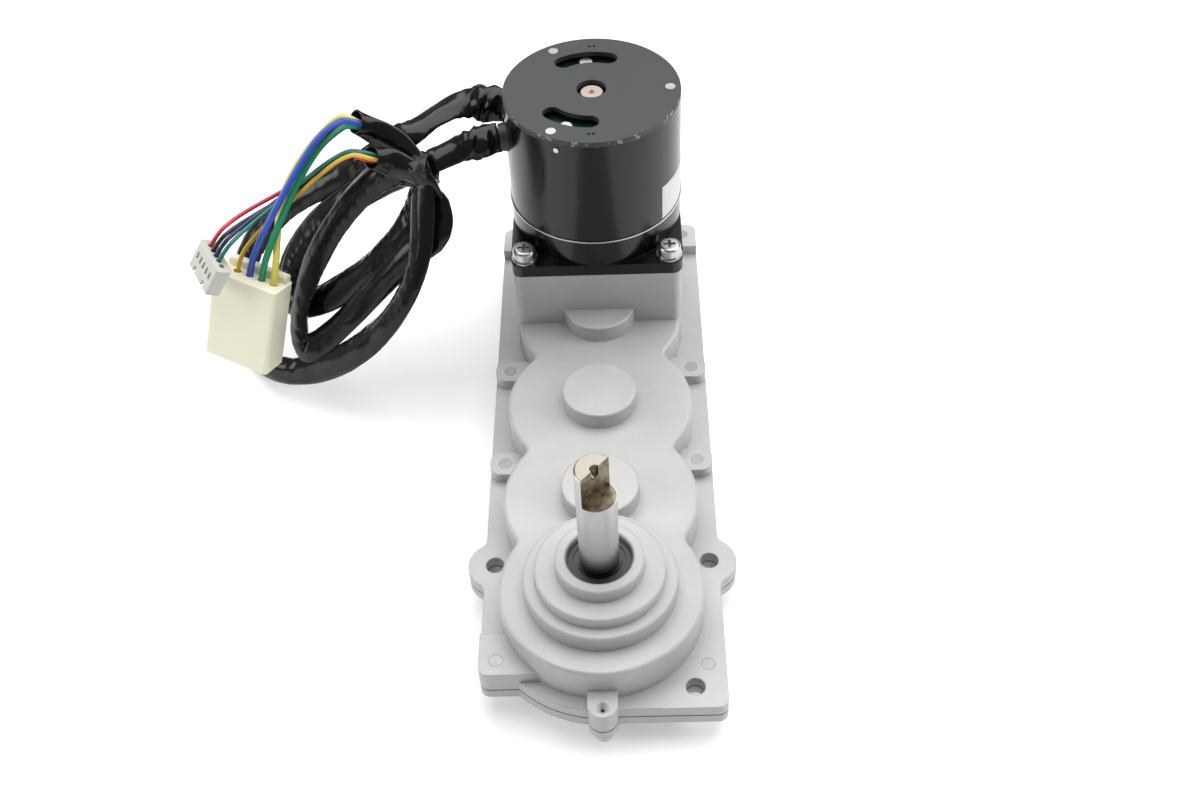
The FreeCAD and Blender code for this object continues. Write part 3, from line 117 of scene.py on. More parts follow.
# Loops, which are one flat coil in the part's source. In millimetres: reach down from the tie, width of the
# left and right half, how much each half leans to its top, swing in degrees, bulge of the last bend, height
# at both ends, first and last angle.
LOOP_TOP = 49
LOOP_POINTS = 16
BULGE_PLACE, BULGE_SPREAD = 325, 25
PHASE_LOOP = dict(reach=110, left=31, right=34, left_lean=-0.45, right_lean=0.15, swing=12, bulge=0, low=-7,
                  high=3.5, first=62, last=340)
HALL_LOOPS = [dict(reach=82, left=13.8, right=13.6, left_lean=-0.4, right_lean=0.15, swing=14, bulge=0,
                   low=-4, high=-2, first=30, last=345),
              dict(reach=85, left=16.3, right=10.5, left_lean=-0.1, right_lean=0.55, swing=-1, bulge=11,
                   low=4.5, high=-2, first=15, last=345)]
TIE_PLACE = (52.4, -3.4, 2)


def colour_property(name, description, default):
    return bpy.props.FloatVectorProperty(name=name, description=description, default=default, size=3,
                                         subtype="COLOR", min=0, max=1)


def length_property(name, description, default):
    return bpy.props.FloatProperty(name=name, description=description, default=default, unit="LENGTH",
                                   min=0.0001)


class GearMotorCables(bpy.types.PropertyGroup):
    """Sizes of the two cables and their wires."""
    sleeve_diameter: length_property("Sleeve diameter", "Diameter of a black sleeve where it is round",
                                     0.0080)
    sleeve_width: length_property("Sleeve width", "Width of a black sleeve as it lies flat", 0.0102)
    sleeve_thickness: length_property("Sleeve thickness", "Thickness of a black sleeve as it lies flat",
                                      0.0042)
    mouth: length_property("Mouth", "Diameter of a sleeve's open round end", 0.0078)
    phase_wire: length_property("Phase wire", "Diameter of a thick motor wire", 0.0024)
    hall_wire: length_property("Sensor wire", "Diameter of a thin sensor wire", 0.0015)
    wrinkle: length_property("Wrinkle", "Depth of the folds in the sleeves", 0.0003)


class GearMotorFinishes(bpy.types.PropertyGroup):
    """Colours of the visible finishes."""
    casting: colour_property("Casting", "Blasted cast aluminium", (0.43, 0.425, 0.415))
    cap: colour_property("End cap", "Matte grey cap on the motor", (0.029, 0.030, 0.033))
    black_coat: colour_property("Black coat", "Glossy coat of can and flange", (0.0035, 0.0035, 0.004))
    ivory: colour_property("Large connector", "Ivory nylon", (0.86, 0.83, 0.65))
    white: colour_property("Small connector", "Milky white nylon", (0.62, 0.62, 0.56))


class GearMotorStage(bpy.types.PropertyGroup):
    """Camera and light of the photograph."""
    lens: bpy.props.FloatProperty(name="Lens", description="Focal length in millimetres", default=43.44,
                                  min=10)
    light: bpy.props.FloatProperty(name="Light", description="Power of the main soft light in watts",
                                   default=26.0, min=0)
    floor_glow: bpy.props.FloatProperty(name="Floor glow",
                                        description="Light that comes through the floor paper",
                                        default=0.3, min=0)
    surround: bpy.props.FloatProperty(name="Surround", description="Strength of the light from all round",
                                      default=0.25, min=0)


# Materials

def new_material(name):
    made = bpy.data.materials.new(name)
    made.use_nodes = True
    nodes = made.node_tree.nodes
    shader = nodes["Principled BSDF"]
    place = nodes.new("ShaderNodeTexCoord")
    return made, nodes, made.node_tree.links, shader, place


def grain(nodes, links, place, scale, detail=3.0):
    texture = nodes.new("ShaderNodeTexNoise")
    texture.inputs["Scale"].default_value = scale
    texture.inputs["Detail"].default_value = detail
    links.new(place.outputs["Object"], texture.inputs["Vector"])
    return texture


def map_range(nodes, links, value, limits):
    """Maps a value's range onto another; the limits are from and to of the first, then of the second."""
    step = nodes.new("ShaderNodeMapRange")
    for socket, limit in zip(("From Min", "From Max", "To Min", "To Max"), limits):
        step.inputs[socket].default_value = limit
    links.new(value, step.inputs["Value"])
    return step.outputs["Result"]


def finish(name, colour, metallic, roughness, spread, tone, coarse, fine, depth, coat=0.0, clear=0.0,
           specular=0.5):
    """A finish whose tone drifts slowly, whose gloss varies, and whose surface has a fine grain.

    Gloss varies by spread and colour by tone; coarse and fine are the scales of drift and grain, depth the
    grain's depth in metres."""
    made, nodes, links, shader, place = new_material(name)
    drift = grain(nodes, links, place, coarse)
    shades = nodes.new("ShaderNodeValToRGB")
    shades.color_ramp.elements[0].position = 0.3
    shades.color_ramp.elements[1].position = 0.7
    shades.color_ramp.elements[0].color = [c * (1 - tone) for c in colour] + [1]
    shades.color_ramp.elements[1].color = [min(1, c * (1 + tone)) for c in colour] + [1]
    links.new(drift.outputs["Fac"], shades.inputs["Fac"])
    links.new(shades.outputs["Color"], shader.inputs["Base Color"])
    pores = grain(nodes, links, place, fine, 4.0)
    gloss = map_range(nodes, links, pores.outputs["Fac"],
                      (0, 1, max(0.02, roughness - spread), min(1, roughness + spread)))
    links.new(gloss, shader.inputs["Roughness"])
    bump = nodes.new("ShaderNodeBump")
    bump.inputs["Strength"].default_value = 1.0
    bump.inputs["Distance"].default_value = depth
    links.new(pores.outputs["Fac"], bump.inputs["Height"])
    links.new(bump.outputs["Normal"], shader.inputs["Normal"])
    shader.inputs["Metallic"].default_value = metallic
    shader.inputs["Coat Weight"].default_value = coat
    shader.inputs["Coat Roughness"].default_value = 0.12
    shader.inputs["Transmission Weight"].default_value = clear
    shader.inputs["Specular IOR Level"].default_value = specular
    return made


LATHE_RINGS = 700


def turned_steel(name, colour, roughness):
    """Ground steel with faint lathe rings along the shaft."""
    made = finish(name, colour, 1.0, roughness, 0.04, 0.05, 120, 500, 0.000001)
    nodes, links = made.node_tree.nodes, made.node_tree.links
    place = nodes["Texture Coordinate"]
    wave = nodes.new("ShaderNodeTexWave")
    wave.bands_direction = "Z"
    wave.inputs["Scale"].default_value = LATHE_RINGS
    wave.inputs["Distortion"].default_value = 0.6
    links.new(place.outputs["Object"], wave.inputs["Vector"])
    rings_bump = nodes.new("ShaderNodeBump")
    rings_bump.inputs["Strength"].default_value = 0.5
    rings_bump.inputs["Distance"].default_value = 0.000002
    links.new(wave.outputs["Fac"], rings_bump.inputs["Height"])
    links.new(nodes["Bump"].outputs["Normal"], rings_bump.inputs["Normal"])
    links.new(rings_bump.outputs["Normal"], nodes["Principled BSDF"].inputs["Normal"])
    return made


def worn(made, radius):
    """The same finish with its sharp edges read as softly rounded."""
    nodes, links = made.node_tree.nodes, made.node_tree.links
    soft = nodes.new("ShaderNodeBevel")
    soft.samples = 4
    soft.inputs["Radius"].default_value = radius
    links.new(soft.outputs["Normal"], nodes["Bump"].inputs["Normal"])
    return made


def maths(nodes, links, operation, first, second=0.0):
    """A maths node on two values, each a socket or a number."""
    step = nodes.new("ShaderNodeMath")
    step.operation = operation
    for socket, value in zip(step.inputs, (first, second)):
        if isinstance(value, (int, float)):
            socket.default_value = value
        else:
            links.new(value, socket)
    return step.outputs["Value"]


def from_axis(nodes, links, place, y):
    """Distance from an upright axis at x = 0 and the given y, and the height, as two sockets."""
    parts = nodes.new("ShaderNodeSeparateXYZ")
    links.new(place.outputs["Object"], parts.inputs["Vector"])
    shifted = maths(nodes, links, "SUBTRACT", parts.outputs["Y"], y)
    deep = maths(nodes, links, "POWER", maths(nodes, links, "ABSOLUTE", shifted), 2.0)
    across = maths(nodes, links, "POWER", maths(nodes, links, "ABSOLUTE", parts.outputs["X"]), 2.0)
    return maths(nodes, links, "SQRT", maths(nodes, links, "ADD", across, deep)), parts.outputs["Z"]


def tint(made, mask, colour):
    """Mixes another colour over the finish where the mask is 1."""
    nodes, links = made.node_tree.nodes, made.node_tree.links
    shader = nodes["Principled BSDF"]
    under = shader.inputs["Base Color"].links[0].from_socket
    mix = nodes.new("ShaderNodeMix")
    mix.data_type = "RGBA"
    links.new(mask, mix.inputs["Factor"])
    links.new(under, mix.inputs["A"])
    mix.inputs["B"].default_value = (*colour, 1)
    links.new(mix.outputs["Result"], shader.inputs["Base Color"])


MASK_SLACK = 0.0001             # a mask on an end face starts this far before it
ROUND_SKIN = 0.00012            # the shaft's round skin, outside the milled faces
STAIN_LIMITS = (0.42, 0.62, 0.0, 0.8)
# painted shade at the shaft's foot: strongest just above the seal, gone 4 mm higher
FOOT_SHADE_LIMITS = (SEAL_TOP + 0.0006, SEAL_TOP + 0.004, 0.95, 0.0)
RIM_SKIN = 0.00022              # the cap's outermost skin, where rubbing and a painted highlight show
# noise above this gives the rim's bright spots: rubbing and a painted highlight
RUBBED_HIGHLIGHT_ABOVE = 0.58
# noise scale of the shaft's stains and of the rim's painted highlight spots
STAIN_AND_HIGHLIGHT_SCALE = 420


def stained_cut_and_foot_shade(made):
    """Brown stains on the milled faces of the shaft's half-round end, a bare top, and painted shade at its
    foot, darker towards the seal.
    """
    nodes, links = made.node_tree.nodes, made.node_tree.links
    place = nodes["Texture Coordinate"]
    reach, height = from_axis(nodes, links, place, 0.0)
    inside = maths(nodes, links, "LESS_THAN", reach, SHAFT_RADIUS - ROUND_SKIN)
    low = maths(nodes, links, "GREATER_THAN", height, SHAFT_TOP - HALF_ROUND - MASK_SLACK)
    high = maths(nodes, links, "LESS_THAN", height, SHAFT_TOP - MASK_SLACK)
    cut = maths(nodes, links, "MULTIPLY", maths(nodes, links, "MULTIPLY", inside, low), high)
    tint(made, cut, (0.20, 0.175, 0.125))
    stain = map_range(nodes, links, grain(nodes, links, place, STAIN_AND_HIGHLIGHT_SCALE, 4.0).outputs["Fac"], STAIN_LIMITS)
    tint(made, maths(nodes, links, "MULTIPLY", cut, stain), (0.07, 0.045, 0.025))
    end = maths(nodes, links, "GREATER_THAN", height, SHAFT_TOP - MASK_SLACK)
    tint(made, end, (0.25, 0.23, 0.19))
    # painted shade at the shaft's foot, darker towards the seal
    tint(made, map_range(nodes, links, height, FOOT_SHADE_LIMITS), (0.02, 0.02, 0.02))
    return made


def rubbed_rim_highlight(made):
    """Bright spots of rubbing along the cap's rim, which paint the rim's highlight."""
    nodes, links = made.node_tree.nodes, made.node_tree.links
    place = nodes["Texture Coordinate"]
    reach, _ = from_axis(nodes, links, place, MOTOR_Y)
    rim = maths(nodes, links, "GREATER_THAN", reach, CAN_RADIUS - RIM_SKIN)
    highlight_spots = grain(nodes, links, place, STAIN_AND_HIGHLIGHT_SCALE, 5.0)
    rubbed_highlight = maths(nodes, links, "GREATER_THAN", highlight_spots.outputs["Fac"], RUBBED_HIGHLIGHT_ABOVE)
    # painted highlight: bright spots of rubbing along the rim
    tint(made, maths(nodes, links, "MULTIPLY", rim, rubbed_highlight), (0.20, 0.20, 0.21))
    return made


NODE_FINISHES = {
    "front_housing": "Blasted casting", "back_cover": "Blasted casting", "housing_gasket": "Brown gasket",
    "housing_screws": "Dull zinc", "end_cap_screws": "Bright zinc", "can_side_screw": "Bright zinc",
    "board_screws": "Bright zinc", "motor_screws": "Bright zinc", "spring_washers": "Bright zinc",
    "flat_washers": "Bright zinc", "output_seal": "Seal rubber", "cable_grommets": "Seal rubber",
    "output_shaft": "Ground output shaft", "output_key": "Ground shaft", "rotor_shaft": "Ground shaft",
    "motor_front_flange": "Black coat", "motor_can": "Black coat", "end_cap": "Grey cap",
    "circuit_board": "Green board", "board_components": "Black chip", "stator_core": "Laminations",
    "rotor_core": "Laminations", "stator_windings": "Copper winding", "rotor_magnets": "Magnet",
    "sensor_magnet": "Magnet", "motor_label": "Blank label", "phase_connector": "Ivory nylon",
    "hall_connector": "White nylon", "cable_tie": "Tie nylon"}


def dress(piece, material):
    piece.data.materials.clear()
    piece.data.materials.append(material)


class GEARMOTOR_OT_finishes(bpy.types.Operator):
    """Makes the finishes and puts them on the pieces of the frame"""
    bl_idname = "gearmotor.finishes"
    bl_label = "Finishes"

    def execute(self, context):
        tones = context.scene.gearmotor_finishes
        worn(finish("Blasted casting", tones.casting, 0.25, 0.55, 0.1, 0.05, 45, 1500, 0.00012), 0.0005)
        finish("Brown gasket", (0.13, 0.06, 0.04), 0, 0.8, 0.1, 0.2, 200, 2500, 0.00005)
        finish("Bright zinc", (0.52, 0.51, 0.49), 1.0, 0.3, 0.05, 0.06, 300, 900, 0.000003)
        finish("Seal rubber", (0.012, 0.012, 0.012), 0, 0.45, 0.1, 0.2, 90, 1500, 0.00003)
        turned_steel("Ground shaft", (0.42, 0.35, 0.30), 0.45)
        finish("Dull zinc", (0.28, 0.28, 0.275), 0.8, 0.45, 0.08, 0.1, 500, 900, 0.000004)
        # the output shaft gets brown stains and painted shade at its foot
        stained_cut_and_foot_shade(turned_steel("Ground output shaft", (0.44, 0.43, 0.43), 0.34))
        finish("Hobbed steel", (0.34, 0.33, 0.32), 1.0, 0.3, 0.1, 0.1, 150, 700, 0.00002)
        finish("Bearing steel", (0.5, 0.5, 0.49), 1.0, 0.18, 0.08, 0.05, 200, 900, 0.000005)
        worn(finish("Black coat", tones.black_coat, 0, 0.2, 0.04, 0.15, 50, 700, 0.000006, specular=0.4),
             0.0003)
        # the cap's rim gets a painted highlight in spots of rubbing
        rubbed_rim_highlight(worn(finish("Grey cap", tones.cap, 0, 0.5, 0.08, 0.05, 50, 2200, 0.00003), 0.0003))
        finish("Green board", (0.003, 0.014, 0.008), 0, 0.35, 0.08, 0.15, 200, 1200, 0.00002, coat=0.3)
        finish("Black chip", (0.015, 0.015, 0.016), 0, 0.5, 0.1, 0.15, 300, 2000, 0.00002)
        finish("Laminations", (0.20, 0.20, 0.21), 1.0, 0.45, 0.1, 0.1, 200, 2500, 0.00004)
        finish("Copper winding", (0.62, 0.24, 0.09), 0.9, 0.3, 0.1, 0.15, 250, 1800, 0.00008)
        finish("Magnet", (0.30, 0.30, 0.32), 1.0, 0.3, 0.08, 0.08, 100, 1200, 0.00001)
        finish("Blank label", (0.60, 0.60, 0.60), 0, 0.7, 0.05, 0.03, 80, 2500, 0.00002)
        finish("Sleeve vinyl", (0.0045, 0.0045, 0.005), 0, 0.17, 0.03, 0.2, 60, 500, 0.000005, specular=0.3)
        finish("Tie nylon", (0.010, 0.010, 0.010), 0, 0.4, 0.1, 0.2, 90, 1300, 0.00003)
        finish("Ivory nylon", tones.ivory, 0, 0.42, 0.08, 0.04, 40, 1500, 0.00004, specular=0.4)
        finish("White nylon", tones.white, 0, 0.38, 0.08, 0.03, 60, 1500, 0.00003, clear=0.15)
        for colour, tone in (("pale yellow", (0.68, 0.60, 0.10)), ("gold", (0.70, 0.42, 0.03)),
                             ("blue", (0.035, 0.09, 0.50)), ("green", (0.01, 0.28, 0.12)),
                             ("teal", (0.008, 0.16, 0.12)), ("red", (0.60, 0.03, 0.06)),
                             ("navy", (0.01, 0.02, 0.10)), ("black", (0.012, 0.012, 0.013))):
            finish(f"Wire {colour}", tone, 0, 0.4, 0.08, 0.06, 150, 1600, 0.00002)
        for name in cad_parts:
            node = bpy.data.objects[name]
            steel = "Bearing steel" if "ring" in name or "wave" in name else "Hobbed steel"
            dress(node, bpy.data.materials[NODE_FINISHES.get(name, steel)])
        return {"FINISHED"}


# Cables

def loop_points(reach, left, right, left_lean, right_lean, swing, bulge, low, high, first, last):
    """One turn of a sleeve round the bundle, in the bundle's axes; angle 0 is at the tie."""
    turn = math.radians(swing)
    points = []
    count = round(LOOP_POINTS * (last - first) / 360)
    for index in range(count + 1):
        share = index / count
        degrees = first + (last - first) * share
        angle = math.radians(degrees)
        half, lean = (left, left_lean) if math.sin(angle) > 0 else (right, right_lean)
        side = half * math.sin(angle) * (1 + lean * math.cos(angle))
        side -= bulge * math.exp(-((degrees - BULGE_PLACE) / BULGE_SPREAD) ** 2)
        down = -reach / 2 * (1 - math.cos(angle))
        points.append((LOOP_TOP + down * math.cos(turn) + side * math.sin(turn),
                       -down * math.sin(turn) + side * math.cos(turn), low + (high - low) * share))
    return points


def route_curve(name, points, radius=0.0):
    """A smooth open NURBS line through the route, with or without a round section."""
    data = bpy.data.curves.new(name, "CURVE")
    data.dimensions = "3D"
    data.resolution_u = 8
    data.bevel_depth = radius
    data.bevel_resolution = 5
    data.use_fill_caps = True
    line = data.splines.new("NURBS")
    line.points.add(len(points) - 1)
    for spot, point in zip(line.points, points):
        spot.co = (*point, 1)
    line.order_u = 3
    line.use_endpoint_u = True
    piece = bpy.data.objects.new(name, data)
    bpy.context.scene.collection.objects.link(piece)
    return piece


def line_of(points):
    """Points along the smooth line, read from the spline itself."""
    guide = route_curve("route_guide", points)
    bpy.context.view_layer.update()
    mesh = bpy.data.meshes.new_from_object(guide.evaluated_get(bpy.context.evaluated_depsgraph_get()))
    line = [v.co.copy() for v in mesh.vertices]
    bpy.data.objects.remove(guide)
    bpy.data.meshes.remove(mesh)
    return line


def line_length(line):
    return sum((b - a).length for a, b in zip(line, line[1:]))


# Sleeves, in metres. A scale is the noise's steps per metre of run; its other factors act round the section.
SLEEVE_SIDES = 36
SLEEVE_STEP = 0.0009
MOUTH_RUN = 0.012               # the flat sleeve turns round over this run, to its mouth
MOUTH_SLANT = 0.0042            # the mouth's top stands back by this much
CALM_RUN, CALM_GAIN = 0.045, 1.6    # the folds die out over this run, to the mouth
BORE_RUN = 0.016                # how deep the open mouth goes
WALL = 0.0006
BEND_REACH = 4                  # rings either side that a bend is read over
FOLD_RADIUS = 0.016             # a bend of this radius creases in full
TWIST, TWIST_SCALE = 0.45, 26
BUNCH_START, BUNCH_RISE = 0.002, 0.003      # gathered folds where the sleeve leaves the grommet
BUNCH_END, BUNCH_FALL = 0.016, 0.007
BUNCH_HEIGHT, BUNCH_FOLD = 0.0012, 0.0011
TIE_DRAW, TIE_RUN = 0.3, 0.008  # the share by which the tie draws a sleeve in, and over what run
SQUASH_SCALE, SQUASH_WIDER, SQUASH_THINNER = 30, 0.14, 0.25
FLAT_EDGE, MOUTH_ROUNDING = 1.35, 0.35      # power that shapes the section, and its loss at the mouth
RIDGE_SLOPE = 2.2
CREASE_SCALE, CREASE_ROUND = 42, 1.25
DIMPLE_SCALE, DIMPLE_ROUND, DIMPLE_SEED, DIMPLE_SHARE = 210, 1.1, 9, 0.3
FOLD_SCALE, FOLD_SIDE, FOLD_FRONT, FOLD_DEPTH = 300, 0.9, 0.5, 0.0007
FOLD_OUTSIDE = 0.35             # share of a bend's folds that shows on its outside
MOUTH_SMOOTHING, CALM_SMOOTHING = 0.8, 0.85


def ease(value):
    """Goes smoothly from 0 to 1 as the value does."""
    value = min(1, max(0, value))
    return value * value * (3 - 2 * value)


def ridge(value):
    """A sharp crest where the noise crosses 0."""
    return 1 - RIDGE_SLOPE * abs(value)


class Sleeve:
    """The surface of a thin sleeve: flat along its run, round at its mouth, drawn in at the tie, and creased
    at bends."""

    def __init__(self, line, sizes, seed):
        self.line, self.sizes, self.seed = line, sizes, seed
        self.walked = [0.0]
        for a, b in zip(line, line[1:]):
            self.walked.append(self.walked[-1] + (b - a).length)
        self.total = self.walked[-1]
        self.mesh = bmesh.new()

    def along(self, index):
        ahead = self.line[min(index + 1, len(self.line) - 1)]
        return (ahead - self.line[max(index - 1, 0)]).normalized()

    def bend(self, index):
        """How the line curves about here, as a vector to the inside of the bend, 1 long at a tight fold."""
        a = self.along(max(index - BEND_REACH, 0))
        b = self.along(min(index + BEND_REACH, len(self.line) - 1))
        turn = (b - a) / (2 * BEND_REACH * SLEEVE_STEP)
        return turn * min(1, FOLD_RADIUS * turn.length) / max(turn.length, 1)

    def ring(self, index, shrink):
        """The vertices round one place of the line, of the outer skin, or of the bore where they shrink."""
        here, walked, along, bend = self.line[index], self.walked[index], self.along(index), self.bend(index)
        left, seed, sizes = self.total - walked, self.seed, self.sizes
        out = (COIL_OUT - along * COIL_OUT.dot(along)).normalized()
        mouth = ease(1 - left / MOUTH_RUN)
        twist = TWIST * noise.noise(Vector((walked * TWIST_SCALE, seed, 5))) * (1 - mouth)
        out = (out + along.cross(out) * twist).normalized()
        side = along.cross(out)
        calm = ease(CALM_GAIN * (1 - left / CALM_RUN))
        bunch = ease((walked - BUNCH_START) / BUNCH_RISE) * ease((BUNCH_END - walked) / BUNCH_FALL)
        drawn = 1 - TIE_DRAW * math.exp(-((here - coil_at(*TIE_PLACE)).length / TIE_RUN) ** 2)
        squash = noise.noise(Vector((walked * SQUASH_SCALE, seed, 0)))
        opening = sizes.mouth / 2
        half = sizes.sleeve_width / 2 * (1 + SQUASH_WIDER * squash)
        rise = sizes.sleeve_thickness / 2 * (1 - SQUASH_THINNER * squash)
        half = (half * (1 - mouth) + opening * mouth) * drawn - shrink
        rise = (rise * (1 - mouth) + opening * mouth) * drawn - shrink
        rise += BUNCH_HEIGHT * bunch
        power = FLAT_EDGE - MOUTH_ROUNDING * mouth
        made = []
        for corner in range(SLEEVE_SIDES):
            angle = 2 * math.pi * corner / SLEEVE_SIDES
            c, s = math.cos(angle), math.sin(angle)
            spot = side * (half * c) + out * (rise * math.copysign(abs(s) ** power, s))
            reach = spot.normalized()
            crease = ridge(noise.noise(Vector((walked * CREASE_SCALE + seed, c * CREASE_ROUND,
                                               s * CREASE_ROUND))))
            dimple = noise.noise(Vector((walked * DIMPLE_SCALE, c * DIMPLE_ROUND + DIMPLE_SEED,
                                         s * DIMPLE_ROUND + seed)))
            across = ridge(noise.noise(Vector((walked * FOLD_SCALE + c * FOLD_SIDE, seed, s * FOLD_FRONT))))
            inside = FOLD_OUTSIDE + max(0, reach.dot(bend.normalized())) if bend.length else 0
            depth = sizes.wrinkle * (crease + dimple * DIMPLE_SHARE) * (1 - MOUTH_SMOOTHING * mouth)
            depth += across * (FOLD_DEPTH * bend.length * inside + BUNCH_FOLD * bunch)
            depth *= 1 - CALM_SMOOTHING * calm
            back = MOUTH_SLANT * mouth * (1 + s) / 2
            made.append(self.mesh.verts.new(here + spot + reach * depth - along * back))
        return made

    def build(self, name):
        """The piece: its outer skin, turned in at the open mouth, and closed in the grommet."""
        last = len(self.line) - 1
        depth = round(BORE_RUN / SLEEVE_STEP)
        rings = [self.ring(index, 0) for index in range(last + 1)]
        rings += [self.ring(index, WALL) for index in range(last, last - depth, -1)]
        for first, second in zip(rings, rings[1:]):
            for corner in range(SLEEVE_SIDES):
                after = (corner + 1) % SLEEVE_SIDES
                self.mesh.faces.new((first[corner], first[after], second[after], second[corner]))
        self.mesh.faces.new(list(reversed(rings[0])))
        self.mesh.faces.new(rings[-1])
        bmesh.ops.recalc_face_normals(self.mesh, faces=self.mesh.faces)
        data = bpy.data.meshes.new(name)
        self.mesh.to_mesh(data)
        self.mesh.free()
        data.shade_smooth()
        piece = bpy.data.objects.new(name, data)
        bpy.context.scene.collection.objects.link(piece)
        return piece


def even_line(line, step):
    """The same line with its points spread evenly."""
    even, rest = [line[0]], 0.0
    for a, b in zip(line, line[1:]):
        run = (b - a).length
        while rest + run >= step:
            a = a + (b - a) * ((step - rest) / run)
            run = (b - a).length
            even.append(a.copy())
            rest = 0.0
        rest += run
    if (even[-1] - line[-1]).length > step / 3:
        even.append(line[-1])
    return even


def sleeve(name, route, nodes, sizes, seed):
    line = even_line(line_of(route), SLEEVE_STEP)
    piece = Sleeve(line, sizes, seed).build(name)
    dress(piece, bpy.data.materials["Sleeve vinyl"])
    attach(piece, BODY)
    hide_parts(*nodes)


def start_piece(name, add, **settings):
    """Adds a primitive, alone in the selection, and names it."""
    bpy.ops.object.select_all(action="DESELECT")
    add(**settings)
    piece = bpy.context.object
    piece.name = piece.data.name = name
    return piece


def finish_shape(piece, *modifiers):
    """Adds and applies each modifier in turn; a row is its type and its settings."""
    for kind, settings in modifiers:
        modifier = piece.modifiers.new(kind.title(), kind)
        for key, value in settings.items():
            setattr(modifier, key, value)
        bpy.ops.object.modifier_apply(modifier=modifier.name)


def settle(piece, material):
    """Puts the piece's place into its mesh, smooths it, dresses it and lets it ride."""
    bpy.ops.object.transform_apply(location=True, rotation=True, scale=True)
    bpy.ops.object.shade_smooth_by_angle(angle=math.radians(35))
    dress(piece, bpy.data.materials[material])
    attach(piece, BODY)


TIE_HALF_WIDTH, TIE_HALF_DEPTH = 0.0052, 0.0066
TIE_TURNS = ((6, -0.0014, 1.0), (-9, 0.0013, 1.04), (24, 0.0002, 1.12))     # degrees, shift along, growth
STRAP_SIDES, STRAP_ROWS = 40, 4
STRAP_WIDTH, STRAP_THICKNESS = 0.0034, 0.0011
STRAP_BEVEL = 0.00025
STRAP_AXIS = (0.79, -0.53, -0.39)
LUMP_SIZE, LUMP_HEIGHT = 0.004, 0.0012


def placed(place, x_axis, y_axis, z_axis):
    """The matrix that puts a piece at a place with these axes."""
    return Matrix.Translation(place) @ Matrix((x_axis, y_axis, z_axis)).transposed().to_4x4()


def strap(name, turn, shift, grow):
    """One flat turn of the tie round the strands."""
    piece = start_piece(name, bpy.ops.mesh.primitive_circle_add, vertices=STRAP_SIDES, radius=1,
                        fill_type="NOTHING")
    bpy.ops.object.mode_set(mode="EDIT")
    bpy.ops.mesh.select_all(action="SELECT")
    bpy.ops.transform.resize(value=(TIE_HALF_WIDTH * grow, TIE_HALF_DEPTH * grow, 1))
    bpy.ops.transform.translate(value=(0, 0, -STRAP_WIDTH / 2))
    for _ in range(STRAP_ROWS):
        bpy.ops.mesh.extrude_region_move(TRANSFORM_OT_translate={"value": (0, 0, STRAP_WIDTH / STRAP_ROWS)})
    bpy.ops.object.mode_set(mode="OBJECT")
    lumps = bpy.data.textures.new("strap_lumps", "CLOUDS")
    lumps.noise_scale = LUMP_SIZE
    finish_shape(piece, ("SOLIDIFY", {"thickness": STRAP_THICKNESS, "offset": 1}),
                 ("BEVEL", {"width": STRAP_BEVEL, "segments": 2, "limit_method": "ANGLE"}),
                 ("SUBSURF", {"levels": 1, "render_levels": 1}),
                 ("DISPLACE", {"texture": lumps, "strength": LUMP_HEIGHT, "mid_level": 0.5}))
    axis = (COIL_UP * STRAP_AXIS[0] + COIL_ACROSS * STRAP_AXIS[1] + COIL_OUT * STRAP_AXIS[2]).normalized()
    axis = Matrix.Rotation(math.radians(turn), 3, COIL_OUT) @ axis
    depth = (COIL_OUT - axis * COIL_OUT.dot(axis)).normalized()
    piece.matrix_world = placed(coil_at(*TIE_PLACE) + axis * shift, depth.cross(axis), depth, axis)
    return piece


class GEARMOTOR_OT_tie(bpy.types.Operator):
    """Makes the black tie that draws the sleeves together"""
    bl_idname = "gearmotor.tie"
    bl_label = "Cable tie"

    def execute(self, context):
        turns = [strap("tie_turn", *turn) for turn in TIE_TURNS]
        bpy.ops.object.select_all(action="DESELECT")
        for turn in turns:
            turn.select_set(True)
        bpy.ops.object.join()
        tie = bpy.context.object
        tie.name = tie.data.name = "cable_tie_wrap"
        settle(tie, "Tie nylon")
        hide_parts("cable_tie")
        return {"FINISHED"}


LABEL_ANGLES = (-42, 22)
LABEL_STEP = 2
LABEL_HEIGHT, LABEL_THICKNESS = 0.0135, 0.00012
LABEL_GAP = 0.00008             # off the can's round wall
LABEL_LIFT = 0.0006             # above the can's bottom
EDGE_SIDES = 160
EDGE_HEIGHT, EDGE_THICKNESS, EDGE_BEVEL = 0.0005, 0.0004, 0.00012
EDGE_GAP = 0.00004              # past the can's round wall
EDGE_DROP = 0.00045             # below the can's bottom


class GEARMOTOR_OT_label(bpy.types.Operator):
    """Makes the blank paper label round the right side of the can"""
    bl_idname = "gearmotor.label"
    bl_label = "Blank label"

    def execute(self, context):
        label = start_piece("can_paper_label", bpy.ops.mesh.primitive_circle_add, vertices=360 // LABEL_STEP,
                            radius=CAN_RADIUS + LABEL_GAP, fill_type="NOTHING",
                            location=(0, MOTOR_Y, CAN_BOTTOM + LABEL_LIFT))
        bpy.ops.object.mode_set(mode="EDIT")
        bpy.ops.mesh.select_all(action="DESELECT")
        shape = bmesh.from_edit_mesh(label.data)
        for vertex in shape.verts:
            angle = math.degrees(math.atan2(vertex.co.y, vertex.co.x))
            vertex.select = not LABEL_ANGLES[0] <= angle <= LABEL_ANGLES[1]
        bmesh.update_edit_mesh(label.data)
        bpy.ops.mesh.delete(type="VERT")
        bpy.ops.mesh.select_all(action="SELECT")
        bpy.ops.mesh.extrude_region_move(TRANSFORM_OT_translate={"value": (0, 0, LABEL_HEIGHT)})
        bpy.ops.object.mode_set(mode="OBJECT")
        finish_shape(label, ("SOLIDIFY", {"thickness": LABEL_THICKNESS, "offset": 1}))
        settle(label, "Blank label")
        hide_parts("motor_label")
        return {"FINISHED"}


